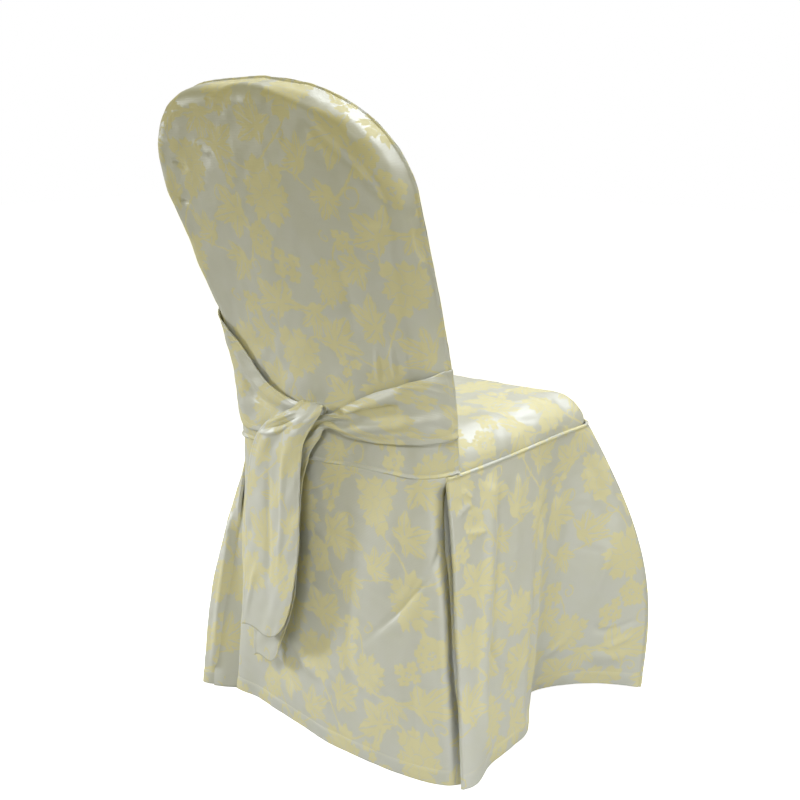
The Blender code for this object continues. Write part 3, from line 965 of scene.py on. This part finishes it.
class StageSettings(bpy.types.PropertyGroup):
    floor_colour: tint("Floor colour", "Colour of the floor", (0.6, 0.6, 0.6))
    floor_glow: number("Floor glow", "Light that the floor shows, so that it stays pale", 1.0)
    surroundings: number("Surrounding light", "Strength of the light from all around", 0.28)
    surroundings_colour: tint("Surrounding colour", "Colour of the light from all around", (1.0, 0.85, 0.12))
    lamp_colour: tint("Lamp colour", "Colour of the lamps", (0.93, 0.955, 1.0))
    key: power("Key light", "Power of the lamp on the left", 3.1)
    high: power("High light", "Power of the high lamp behind the camera", 2.1)
    top: power("Top light", "Power of the soft light from above and in front", 70.0)
    fill: power("Fill light", "Power of the soft light from the right", 1.4)


class CoverSettings(bpy.types.PropertyGroup):
    cloth: PointerProperty(type=ClothSettings, name="Cloth", description="Sizes of the cloth")
    damask: PointerProperty(type=DamaskSettings, name="Damask", description="Colours and weave of the cloth")
    stage: PointerProperty(type=StageSettings, name="Stage", description="Floor and lights")


def steps(start, end, run, spacing):
    """Even stops from start to end, for a run of that length on the cloth."""
    return np.linspace(start, end, max(int(round(run / spacing)), 2) + 1)


def both_sides(levels):
    """Levels from the middle outward, mirrored."""
    return np.concatenate([levels[::-1], -levels[1:]])


# Folds of each panel in millimetres: height (below 0 in a trough), half width, share of the length over
# which each end fades out, then points on the cloth: across, to the sitter's right when positive on a
# skirt and to the sitter's left on the back, and up from the hem, the seat seam or the tail's end
BACK_CREASES = [
    (2.4, 7.0, 0.25, (70, 525), (30, 540), (-25, 534), (-109, 507), (-177, 487)),
    (-2.4, 5.6, 0.3, (-85, 507), (-129, 466), (-170, 431), (-218, 381), (-260, 353)),
    (2.6, 7.0, 0.3, (-94, 512), (-145, 470), (-186, 438), (-230, 390)),
    (-1.6, 6.0, 0.35, (-45, 363), (-167, 363), (-261, 363)),
    (-4.0, 8.0, 0.4, (-241, 353), (-239, 327), (-241, 299)),
    (2.8, 3.6, 0.3, (128, 462), (106, 448), (90, 442)),
    (-4.0, 4.2, 0.4, (191, 433), (168, 427), (149, 417)),
    (-4.0, 4.2, 0.4, (195, 374), (171, 371)),
    (2.2, 4.2, 0.35, (-129, 187), (-126, 158), (-124, 126)),
    (2.6, 4.2, 0.35, (-159, 198), (-155, 166), (-153, 133)),
    (2.4, 4.2, 0.35, (-184, 198), (-182, 173), (-180, 148)),
    (2.4, 4.2, 0.35, (-208, 198), (-203, 173), (-203, 148)),
    (-2.2, 8.0, 0.35, (130, 166), (88, 151), (46, 108)),
    (-1.8, 11.0, 0.4, (-95, 320), (-102, 252), (-82, 148)),
]
SEAT_CREASES = [
    (-2.0, 12.0, 0.4, (170, 115), (205, 90)),
    (2.0, 6.0, 0.35, (48, 153), (137, 175), (190, 139)),
    (-2.0, 6.0, 0.35, (126, 239), (184, 225), (203, 162)),
    (1.8, 5.0, 0.35, (59, 87), (151, 142), (187, 118)),
]
SKIRT_BACK_CREASES = [
    (-3.6, 4.8, 0.32, (228, 368), (218, 344), (201, 314), (151, 248), (73, 172)),
    (1.4, 10.0, 0.35, (222, 330), (210, 292), (169, 241), (103, 179)),
    (5.0, 9.0, 0.35, (-105, 154), (-58, 125), (-3, 92)),
    (-5.0, 8.0, 0.35, (-144, 103), (-109, 78), (-78, 52)),
    (4.0, 8.0, 0.3, (216, 336), (226, 220), (239, 23)),
    (-3.0, 12.0, 0.3, (57, 400), (67, 313), (56, 183), (81, 31)),
    (3.0, 14.0, 0.3, (139, 430), (144, 328), (125, 266)),
    (-2.6, 11.0, 0.3, (176, 183), (179, 125), (192, 31)),
]
SKIRT_RIGHT_CREASES = [
    (8.0, 15.0, 0.1, (-92, 445), (-95, 353), (-114, 191), (-125, 74), (-97, 25)),
    (-4.0, 11.0, 0.2, (-71, 427), (-69, 338), (-81, 192), (-80, 67)),
    (2.4, 3.4, 0.35, (-161, 433), (-145, 422), (-129, 411)),
    (2.8, 3.4, 0.35, (-178, 392), (-155, 403), (-129, 407)),
    (2.8, 3.4, 0.35, (-161, 370), (-130, 363), (-100, 360)),
    (-3.6, 5.5, 0.3, (-114, 206), (-69, 155), (-3, 67)),
    (-8.0, 14.0, 0.15, (69, 364), (36, 297), (31, 198), (30, 74), (33, 10)),
    (6.0, 16.0, 0.15, (112, 366), (118, 263), (141, 149), (160, 56)),
    (5.0, 8.0, 0.3, (228, 257), (218, 192), (213, 131)),
    (4.0, 7.0, 0.3, (150, 60), (178, 77), (204, 113)),
    (-4.0, 4.5, 0.25, (214, 124), (243, 99), (267, 103), (318, 125)),
    (4.4, 6.0, 0.3, (255, 67), (278, 78), (306, 92)),
    (5.0, 13.0, 0.35, (233, 52), (276, 52), (317, 63)),
    (-3.6, 15.0, 0.3, (144, 431), (195, 341), (236, 250)),
    (3.6, 15.0, 0.3, (-16, 442), (-25, 357), (-37, 239)),
]
SKIRT_LEFT_CREASES = [
    (6.0, 8.0, 0.2, (160, 327), (194, 224), (204, 78), (203, 6)),
    (-6.0, 7.0, 0.2, (183, 333), (204, 227), (223, 81), (228, 12)),
    (5.0, 10.0, 0.25, (60, 420), (50, 300), (30, 120)),
    (-5.0, 9.0, 0.25, (-50, 400), (-60, 250), (-50, 60)),
    (4.6, 10.0, 0.25, (-130, 420), (-160, 300), (-170, 150)),
    (-3.6, 6.0, 0.3, (-200, 180), (-150, 120), (-80, 100)),
]
SKIRT_FRONT_CREASES = [
    (5.0, 11.0, 0.25, (-180, 400), (-200, 250), (-190, 80)),
    (-4.6, 10.0, 0.25, (-80, 420), (-90, 280), (-80, 100)),
    (4.4, 12.0, 0.25, (20, 420), (30, 260), (20, 60)),
    (-4.6, 10.0, 0.25, (110, 420), (120, 280), (130, 80)),
    (5.0, 11.0, 0.25, (180, 400), (210, 250), (220, 80)),
    (-3.6, 6.0, 0.3, (230, 260), (170, 180), (90, 160)),
]
TIE_RIGHT_CREASES = [
    (-5.6, 4.5, 0.25, (37, 507), (53, 551), (65, 632)),
    (3.6, 6.0, 0.3, (47, 524), (71, 597), (89, 681), (88, 716)),
    (3.6, 6.0, 0.3, (14, 463), (27, 540), (35, 616), (39, 662)),
    (-2.4, 5.0, 0.3, (16, 479), (20, 544), (22, 607)),
    (2.0, 4.0, 0.3, (87, 652), (83, 677), (65, 689)),
]
TIE_LEFT_CREASES = [
    (-3.0, 3.6, 0.3, (110, 360), (82, 370), (44, 412)),
    (2.6, 4.0, 0.3, (105, 345), (73, 356), (28, 396)),
    (-2.6, 3.6, 0.3, (121, 332), (76, 340), (38, 378)),
    (3.0, 5.0, 0.3, (138, 674), (89, 624), (34, 537)),
    (-3.0, 5.0, 0.3, (93, 645), (60, 613), (35, 556)),
    (-2.0, 5.0, 0.3, (102, 117), (110, 62), (120, 6)),
    (2.0, 7.0, 0.3, (75, 313), (78, 194), (64, 61)),
    (-2.6, 6.0, 0.3, (33, 328), (38, 234), (40, 85)),
]


def seam_relief(distance, height):
    """A welt along a seam, over its turned allowance, with a dip along its row of stitches."""
    return height * (ridge(distance, WELT_AT, WELT_WIDTH) - 0.4 * ridge(distance, STITCHES_AT, WELT_WIDTH))


def hem_relief(distance, width):
    """A turned hem: a little thicker than the cloth, with a dip along its row of stitches."""
    return HEM_THICK * (1.0 - smooth((distance - width) / HEM_SOFT) - ridge(distance, width, WELT_WIDTH))


def crumple(plane, size, seed, unevenness, stretch=(1.0, 1.0)):
    """The cloth's slow unevenness, with finer crumples on it."""
    return unevenness * (ripple(plane, size, seed, stretch) + 0.3 * ripple(plane, 0.028, seed + 50))


def corner_tuck(v):
    """How far the back skirt turns in at its split right corner, below the seam."""
    return CORNER_TUCK * smooth(v / 0.06) * smooth((0.55 - v) / 0.40)


def tucked(points, plane, inwards, up):
    """Adds a strip above the first row of a sheet, turned in under its neighbour."""
    strip = points[:1] + inwards + np.array([0.0, 0.0, up])
    return np.concatenate([strip, points]), np.concatenate([plane[:1] + np.array([0.0, up]), plane])


def turned_edge(points, plane, normals, side, sideways, inwards):
    """Adds a turned-in strip along the first (side 0) or last (side -1) column of a sheet."""

    def outwards(values):
        step = values[:, [side]] - values[:, [1 if side == 0 else -2]]
        return values[:, [side]] + step / np.linalg.norm(step, axis=-1, keepdims=True) * sideways

    strips = (outwards(points) - normals[:, [side]] * inwards, outwards(plane), normals[:, [side]])
    pairs = zip(strips, (points, plane, normals))
    return [np.concatenate((strip, sheet) if side == 0 else (sheet, strip), 1) for strip, sheet in pairs]


def outside_cloth(space):
    levels = np.concatenate([
        steps(0.0, 1.0, 0.19, space)[:-1],
        steps(1.0, 2.0, 0.05, space)[:-1],
        steps(2.0, 2.6, 0.013, space)[:-1],
        steps(2.6, 3.0, 0.009, SEAM_SPACE),
    ])
    downs = [steps(0.0, -0.98, ARCH_H, space)[1:-1], steps(-0.98, -1.0, 0.010, SEAM_SPACE)]
    rows = np.concatenate([levels[::-1], *downs])
    return outside_surface(*np.meshgrid(both_sides(levels), rows))


def inside_cloth(space):
    levels = steps(0.0, 1.0, 0.22, space)
    rows = np.concatenate([levels[::-1], steps(0.0, -1.0, ARCH_H, space)[1:]])
    return inside_surface(*np.meshgrid(both_sides(levels), rows))


def seat_cloth(space):
    edge_levels = 1.0 - 0.30 * np.linspace(1.0, 0.0, 34) ** 1.8
    levels = np.concatenate([steps(0.0, 0.70, 0.145, space)[:-1], edge_levels])
    runs = np.concatenate([steps(0.0, 0.82, 0.30, space)[:-1], 1.0 - 0.18 * np.linspace(1.0, 0.0, 30) ** 1.8])
    points = seat_surface(*np.meshgrid(both_sides(levels), runs))
    return points, cloth_plane(points, len(levels) - 1)


def skirt_cloth(rows, from_front, hem, space):
    stations = steps(rows[0][0], rows[-1][0], hem, space)
    downs = np.concatenate([
        steps(0.0, 0.022, 0.010, SEAM_SPACE)[:-1],
        steps(0.022, 0.94, 0.41, space)[:-1],
        1.0 - steps(0.060, 0.0, 0.026, space / 2.0),
    ])
    s, v = np.meshgrid(stations, downs)
    points = skirt_surface(rows, s, v, 0.0, from_front)
    return points, cloth_plane(points, len(stations) // 2)


def tie_cloth(rows, space):
    across, run = np.meshgrid(steps(0.0, 1.0, 0.12, space), steps(0.0, 1.0, 0.80, space))
    points = tie_surface(rows, run, across)
    return points, cloth_plane(points, 0)


# Rows of points along the seams and hems, filled by the pieces and sewn at the end
stitch_rows = []


def nearest_to(distance, stops):
    """Which of the stops is nearest to a distance."""
    return np.abs(stops - distance).argmin()


def stitch_tree():
    """Geometry nodes that set small stitches along lines."""
    tree = bpy.data.node_groups.new("stitches", "GeometryNodeTree")
    face = tree.interface
    face.new_socket("Lines", in_out="INPUT", socket_type="NodeSocketGeometry")
    for label in ("Pitch", "Length", "Thread"):
        face.new_socket(label, in_out="INPUT", socket_type="NodeSocketFloat")
    face.new_socket("Material", in_out="INPUT", socket_type="NodeSocketMaterial")
    face.new_socket("Stitches", in_out="OUTPUT", socket_type="NodeSocketGeometry")

    node = Nodes(tree).node
    given = node("NodeGroupInput", {}, {})
    curve = node("GeometryNodeMeshToCurve", {}, {"Mesh": given.outputs["Lines"]})
    lines = {"Curve": curve.outputs[0], "Length": given.outputs["Pitch"]}
    stops = node("GeometryNodeResampleCurve", {"mode": "LENGTH"}, lines)
    bead = node("GeometryNodeMeshIcoSphere", {}, {"Radius": 0.5, "Subdivisions": 1})
    tangent = node("GeometryNodeInputTangent", {}, {}).outputs[0]
    heading = node("FunctionNodeAlignRotationToVector", {"axis": "X"}, {"Vector": tangent})
    thread = given.outputs["Thread"]
    size = node("ShaderNodeCombineXYZ", {}, {0: given.outputs["Length"], 1: thread, 2: thread})
    shape = {"Instance": bead.outputs["Mesh"], "Rotation": heading.outputs[0], "Scale": size.outputs[0]}
    sewn = node("GeometryNodeInstanceOnPoints", {}, {"Points": stops.outputs[0], **shape})
    whole = node("GeometryNodeRealizeInstances", {}, {"Geometry": sewn.outputs[0]})
    covered = {"Geometry": whole.outputs[0], "Material": given.outputs["Material"]}
    threaded = node("GeometryNodeSetMaterial", {}, covered)
    result = node("NodeGroupOutput", {}, {})
    tree.links.new(threaded.outputs[0], result.inputs[0])
    return tree


def thread_material(colour):
    shader = Shader("sewing thread")
    where = shader.node("ShaderNodeTexCoord", {}, {}).outputs["Object"]
    uneven = shader.node("ShaderNodeTexNoise", {}, {"Vector": where, "Scale": 900.0, "Detail": 1.0})
    dark = (*(0.86 * part for part in colour), 1.0)
    shader.feed(shader.surface.inputs["Base Color"], shader.colours(uneven.outputs[0], (*colour, 1.0), dark))
    shader.surface.inputs["Roughness"].default_value = 0.6
    return shader.material


class ChairCoverStitches(bpy.types.Operator):
    """Sews the rows of stitches along the hems and seams"""

    bl_idname = "chair_cover.stitches"
    bl_label = "Stitches"

    def execute(self, context):
        cloth = context.scene.chair_cover.cloth
        corners, edges = [], []
        for row in stitch_rows:
            first = len(corners)
            corners += row.tolist()
            edges += [(first + k, first + k + 1) for k in range(len(row) - 1)]
        stitch_rows.clear()
        lines = bpy.data.meshes.new("stitch lines")
        lines.from_pydata(corners, edges, [])
        guide = bpy.data.objects.new("stitch lines", lines)
        context.scene.collection.objects.link(guide)
        sewing = guide.modifiers.new("stitches", "NODES")
        tree = stitch_tree()
        sewing.node_group = tree
        values = {
            "Pitch": cloth.stitch_pitch,
            "Length": cloth.stitch_length,
            "Thread": cloth.thread,
            "Material": thread_material(context.scene.chair_cover.damask.thread_colour),
        }
        for item in tree.interface.items_tree:
            if item.in_out == "INPUT" and item.name in values:
                sewing[item.identifier] = values[item.name]
        ready = guide.evaluated_get(context.evaluated_depsgraph_get())
        mesh = bpy.data.meshes.new_from_object(ready)
        mesh.name = "stitches"
        bpy.data.objects.remove(guide, do_unlink=True)
        piece = bpy.data.objects.new("stitches", mesh)
        context.scene.collection.objects.link(piece)
        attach(piece, "root")
        return {"FINISHED"}


class ChairCoverBack(bpy.types.Operator):
    """Makes the outside and inside panels of the back"""

    bl_idname = "chair_cover.back"
    bl_label = "Back panels"

    def execute(self, context):
        cloth = context.scene.chair_cover.cloth
        points, plane = outside_cloth(cloth.fineness)
        rim = np.minimum(np.minimum(along(points, 0), along(points, 1)), from_end(points, 1))
        foot = from_end(points, 0)
        relief = fold_relief(plane, BACK_CREASES) + crumple(plane, 0.09, 3, cloth.unevenness)
        relief = relief + seam_relief(rim, cloth.welt) + seam_relief(foot, cloth.welt)
        points = points - surface_normals(points) * relief[..., None]
        stitch_rows.append(points[nearest_to(STITCHES_AT, foot[:, foot.shape[1] // 2])])
        outer = ("outside_back", BACK_SLOT, "stretched", ["inside_back"])
        cloth_piece("back_outside", points, plane, *outer, outward=False)

        points, plane = inside_cloth(cloth.fineness)
        points = points + surface_normals(points) * crumple(plane, 0.09, 4, cloth.unevenness)[..., None]
        inner = ("inside_back", BACK_SLOT, "stretched", ["back_outside"])
        cloth_piece("back_inside", points, plane + 0.31, *inner)
        return {"FINISHED"}


class ChairCoverSeat(bpy.types.Operator):
    """Makes the top panel of the seat"""

    bl_idname = "chair_cover.seat"
    bl_label = "Seat top"

    def execute(self, context):
        cloth = context.scene.chair_cover.cloth
        points, plane = seat_cloth(cloth.fineness)
        relief = fold_relief(plane, SEAT_CREASES) + crumple(plane, 0.10, 5, cloth.unevenness)
        edge = np.minimum(np.minimum(along(points, 1), from_end(points, 1)), from_end(points, 0))
        normals = surface_normals(points)
        points = points + normals * (relief * smooth(edge / SEAT_FADE))[..., None]
        sheet = (points, plane, normals)
        for sideways in SEAT_LIPS:
            # First the left and right edges, then the rear and front ones
            for side in (0, -1):
                sheet = turned_edge(*sheet, side, sideways, SEAT_LIP_DOWN)
            sheet = [np.swapaxes(values, 0, 1) for values in sheet]
        points, plane, _ = sheet
        top = ("seat_top", SKIRT_SLOT, "stretched", ["back_inside"])
        cloth_piece("seat_cover", points, plane + 0.17, *top, cut=points[1:-1])
        return {"FINISHED"}


SKIRTS = [
    # piece, node, table, front panel, length along the hem, pattern shift, seed, creases
    ("skirt_behind", "skirt_back", HEM_BACK, False, 0.52, (0.03, 0.02), 11, SKIRT_BACK_CREASES),
    ("skirt_rightside", "skirt_right", HEM_RIGHT, False, 0.50, (0.51, 0.11), 12, SKIRT_RIGHT_CREASES),
    ("skirt_leftside", "skirt_left", HEM_LEFT, False, 0.50, (0.77, 0.05), 13, SKIRT_LEFT_CREASES),
    ("skirt_infront", "skirt_front", HEM_FRONT, True, 0.60, (0.23, 0.19), 14, SKIRT_FRONT_CREASES),
]


def skirt_relief(points, plane, node, creases, seed):
    """Folds, crumples, hem and seam of a skirt, drawn in where it meets another at a corner."""
    cloth = bpy.context.scene.chair_cover.cloth
    quiet = smooth((plane[..., 1].max(0) - plane[..., 1]) / TOP_FADE)
    relief = fold_relief(plane, creases) + crumple(plane, 0.11, seed, cloth.unevenness, (1.0, 1.8)) * quiet
    top, first, last = along(points, 0), along(points, 1), from_end(points, 1)
    if node == "skirt_back":
        relief = relief - corner_tuck(top / top[-1]) * ridge(last, 0.0, TUCK_SOFT)
    split_corner = {"skirt_back": last, "skirt_right": first}.get(node)
    if split_corner is not None:
        pressed = SPLIT_PRESS * smooth((top / top[-1] - 0.3) / 0.2)
        relief = relief - pressed * ridge(split_corner, 0.0, SPLIT_SOFT)
    joined = {"skirt_right": last, "skirt_left": first, "skirt_front": np.minimum(first, last)}.get(node)
    if joined is not None:
        relief = relief * smooth(joined / JOIN_FADE)
    relief = relief + hem_relief(plane[..., 1], cloth.hem_width)
    return relief if node == "skirt_back" else relief + seam_relief(top, cloth.welt)


class ChairCoverSkirts(bpy.types.Operator):
    """Makes the four skirts that hang from the seat seam"""

    bl_idname = "chair_cover.skirts"
    bl_label = "Skirts"

    def execute(self, context):
        cloth = context.scene.chair_cover.cloth
        for name, node, rows, from_front, hem, shift, seed, creases in SKIRTS:
            behind = node == "skirt_back"
            points, plane = skirt_cloth(rows, from_front, hem, cloth.fineness)
            top = along(points, 0)
            normals = surface_normals(points) * (1.0 if from_front else -1.0)
            points = points + normals * skirt_relief(points, plane, node, creases, seed)[..., None]
            points[..., 2] = np.maximum(points[..., 2], FLOOR_CLEAR)
            middle = plane.shape[1] // 2
            hem_row = nearest_to(cloth.hem_width, plane[:, middle, 1])
            stitch_rows.append(points[hem_row] + normals[-1] * THREAD_LIFT)
            if not behind:
                stitch_rows.append(points[nearest_to(STITCHES_AT, top[:, middle])])
            for side in (0, -1):
                sideways = OPEN_LIP if behind and side == -1 else LIP
                points, plane, normals = turned_edge(points, plane, normals, side, sideways, LIP_IN)
            points[..., 2] = np.maximum(points[..., 2], FLOOR_CLEAR)
            lip_up = BACK_LIP_UP if behind else TOP_LIP_UP
            points, plane = tucked(points, plane, -normals[:1] * TOP_LIP_IN, lip_up)
            points[..., 2] = np.maximum(points[..., 2], FLOOR_CLEAR_LIP)
            hangs = (node, SKIRT_SLOT, "hung", ["seat_cover"])
            cloth_piece(name, points, plane + shift, *hangs, outward=from_front)
        return {"FINISHED"}


class ChairCoverPleats(bpy.types.Operator):
    """Makes the strips that fill the split rear corners"""

    bl_idname = "chair_cover.pleats"
    bl_label = "Pleat inserts"

    def execute(self, context):
        space = context.scene.chair_cover.cloth.fineness
        for name, node, rows, side in (
            ("pleat_rightside", "pleat_right", HEM_RIGHT, 1.0),
            ("pleat_leftside", "pleat_left", HEM_LEFT, -1.0),
        ):
            last = len(PLEAT_FOLDS) - 1.0
            folds = steps(0.0, last, 0.10, space) if side > 0.0 else steps(0.0, last, 0.10, space)[::-1]
            fold, v = np.meshgrid(folds, steps(0.0, 1.0, 0.45, space))
            tuck = corner_tuck(v) if side > 0.0 else 0.0
            points = pleat_surface(rows, side, fold, v, tuck)
            plane = cloth_plane(points, 0) + 0.4
            cloth_piece(name, points, plane, node, SKIRT_SLOT, "hung", ["skirt_behind"], outward=False)
        return {"FINISHED"}


class ChairCoverTies(bpy.types.Operator):
    """Makes the two ties of the sash, crossed once behind the back"""

    bl_idname = "chair_cover.ties"
    bl_label = "Ties"

    def execute(self, context):
        cloth = context.scene.chair_cover.cloth
        for name, node, rows, seed, creases in (
            ("sash_right", "tie_right", TIE_RIGHT, 21, TIE_RIGHT_CREASES),
            ("sash_left", "tie_left", TIE_LEFT, 22, TIE_LEFT_CREASES),
        ):
            points, plane = tie_cloth(rows, cloth.fineness * 0.75)
            right = rows[0][1] > 0.0
            normals = surface_normals(points) * (1.0 if right else -1.0)
            relief = fold_relief(plane, creases) + crumple(plane, 0.05, seed, 0.5 * cloth.unevenness)
            lower, upper = along(points, 1), from_end(points, 1)
            relief = relief + hem_relief(np.minimum(lower, upper), TIE_HEM)
            points = points + normals * relief[..., None]
            stitch_rows.extend(points[:, nearest_to(TIE_HEM, edge[0])] for edge in (lower, upper))
            plane = plane[..., ::-1] + 0.6
            cloth_piece(name, points, plane, node, BACK_SLOT, "draped", ["back_outside"], outward=right)
        return {"FINISHED"}


LAMPS = [
    # name, its setting, size, place, target, spread in degrees
    ("key from the left", "key", (0.4, 0.5), (2.6, 1.2, 0.95), (0.05, 0.15, 0.2), 50.0),
    ("high behind the camera", "high", (1.2, 0.7), (-0.9, 2.3, 2.0), (-0.1, 0.1, -0.1), 42.0),
    ("top and front", "top", (2.6, 1.8), (-0.4, -1.0, 2.9), (0.0, -0.1, 0.5), 180.0),
    ("fill from the right", "fill", (1.2, 1.0), (-2.5, 0.4, 0.8), (-0.2, 0.0, 0.1), 52.0),
]


def placed(name, data, where, sight):
    """A lamp or camera that looks along a line of sight."""
    thing = bpy.data.objects.new(name, data)
    thing.location = where
    thing.rotation_euler = Vector(sight).to_track_quat("-Z", "Y").to_euler()
    bpy.context.scene.collection.objects.link(thing)
    return thing


class ChairCoverStage(bpy.types.Operator):
    """Sets up the floor, the soft light and the camera"""

    bl_idname = "chair_cover.stage"
    bl_label = "Stage"

    def execute(self, context):
        stage = context.scene.chair_cover.stage
        floor_mesh = bpy.data.meshes.new("floor")
        reach = 9.0
        corners = [(-reach, -reach, 0.0), (reach, -reach, 0.0), (reach, reach, 0.0), (-reach, reach, 0.0)]
        floor_mesh.from_pydata(corners, [], [(0, 1, 2, 3)])
        floor = bpy.data.objects.new("floor", floor_mesh)
        context.scene.collection.objects.link(floor)
        paint = Shader("floor paint")
        paint.surface.inputs["Base Color"].default_value = (*stage.floor_colour, 1.0)
        paint.surface.inputs["Roughness"].default_value = 0.9
        glow = paint.node("ShaderNodeEmission", {}, {0: (1.0, 1.0, 1.0, 1.0), 1: stage.floor_glow})
        lit = paint.node("ShaderNodeAddShader", {}, {0: paint.surface.outputs[0], 1: glow.outputs[0]})
        seen = paint.node("ShaderNodeLightPath", {}, {}).outputs["Is Camera Ray"]
        looks = {0: seen, 1: paint.surface.outputs[0], 2: lit.outputs[0]}
        floor_look = paint.node("ShaderNodeMixShader", {}, looks)
        paint.feed(paint.tree.nodes["Material Output"].inputs[0], floor_look.outputs[0])
        floor_mesh.materials.append(paint.material)

        world = bpy.data.worlds.new("studio")
        world.use_nodes = True
        context.scene.world = world
        sky = Nodes(world.node_tree)
        around_all = sky.tree.nodes["Background"]
        around_all.inputs[0].default_value = (*stage.surroundings_colour, 1.0)
        around_all.inputs[1].default_value = stage.surroundings
        backdrop = sky.node("ShaderNodeBackground", {}, {0: (1.0, 1.0, 1.0, 1.0)})
        seen = sky.node("ShaderNodeLightPath", {}, {}).outputs["Is Camera Ray"]
        skies = {0: seen, 1: around_all.outputs[0], 2: backdrop.outputs[0]}
        either = sky.node("ShaderNodeMixShader", {}, skies)
        sky.feed(sky.tree.nodes["World Output"].inputs[0], either.outputs[0])
        context.scene.view_settings.view_transform = "Standard"

        for name, setting, size, where, target, spread in LAMPS:
            light = bpy.data.lights.new(name, "AREA")
            light.energy = getattr(stage, setting)
            light.spread = math.radians(spread)
            light.shape = "RECTANGLE"
            light.size, light.size_y = size
            light.color = stage.lamp_colour
            placed(name, light, where, Vector(target) - Vector(where))

        lens = bpy.data.cameras.new("camera")
        lens.lens = CAMERA_LENS
        lens.sensor_width = 36.0
        context.scene.camera = placed("camera", lens, CAMERA_FROM, CAMERA_SIGHT)
        return {"FINISHED"}


class ChairCoverPanel(bpy.types.Panel):
    """Lists the pieces of the cover and its settings"""

    bl_idname = "VIEW3D_PT_chair_cover"
    bl_label = "Chair cover"
    bl_space_type = "VIEW_3D"
    bl_region_type = "UI"
    bl_category = "Chair cover"

    def draw(self, context):
        settings = context.scene.chair_cover
        for maker in MAKERS:
            self.layout.operator(maker.bl_idname)
        for group in (settings.cloth, settings.damask, settings.stage):
            box = self.layout.box()
            for name in group.bl_rna.properties.keys():
                if name not in {"rna_type", "name"}:
                    box.prop(group, name)


MAKERS = (
    ChairCoverStage,
    ChairCoverBack,
    ChairCoverSeat,
    ChairCoverSkirts,
    ChairCoverPleats,
    ChairCoverTies,
    ChairCoverStitches,
)
CLASSES = (ClothSettings, DamaskSettings, StageSettings, CoverSettings, *MAKERS, ChairCoverPanel)


def register():
    for thing in CLASSES:
        bpy.utils.register_class(thing)
    bpy.types.Scene.chair_cover = PointerProperty(type=CoverSettings)


def unregister():
    del bpy.types.Scene.chair_cover
    for thing in reversed(CLASSES):
        bpy.utils.unregister_class(thing)


def main():
    register()
    bpy.ops.chair_cover.stage()
    bpy.ops.chair_cover.back()
    bpy.ops.chair_cover.seat()
    bpy.ops.chair_cover.skirts()
    bpy.ops.chair_cover.pleats()
    bpy.ops.chair_cover.ties()
    bpy.ops.chair_cover.stitches()


if __name__ == "__main__":
    main()
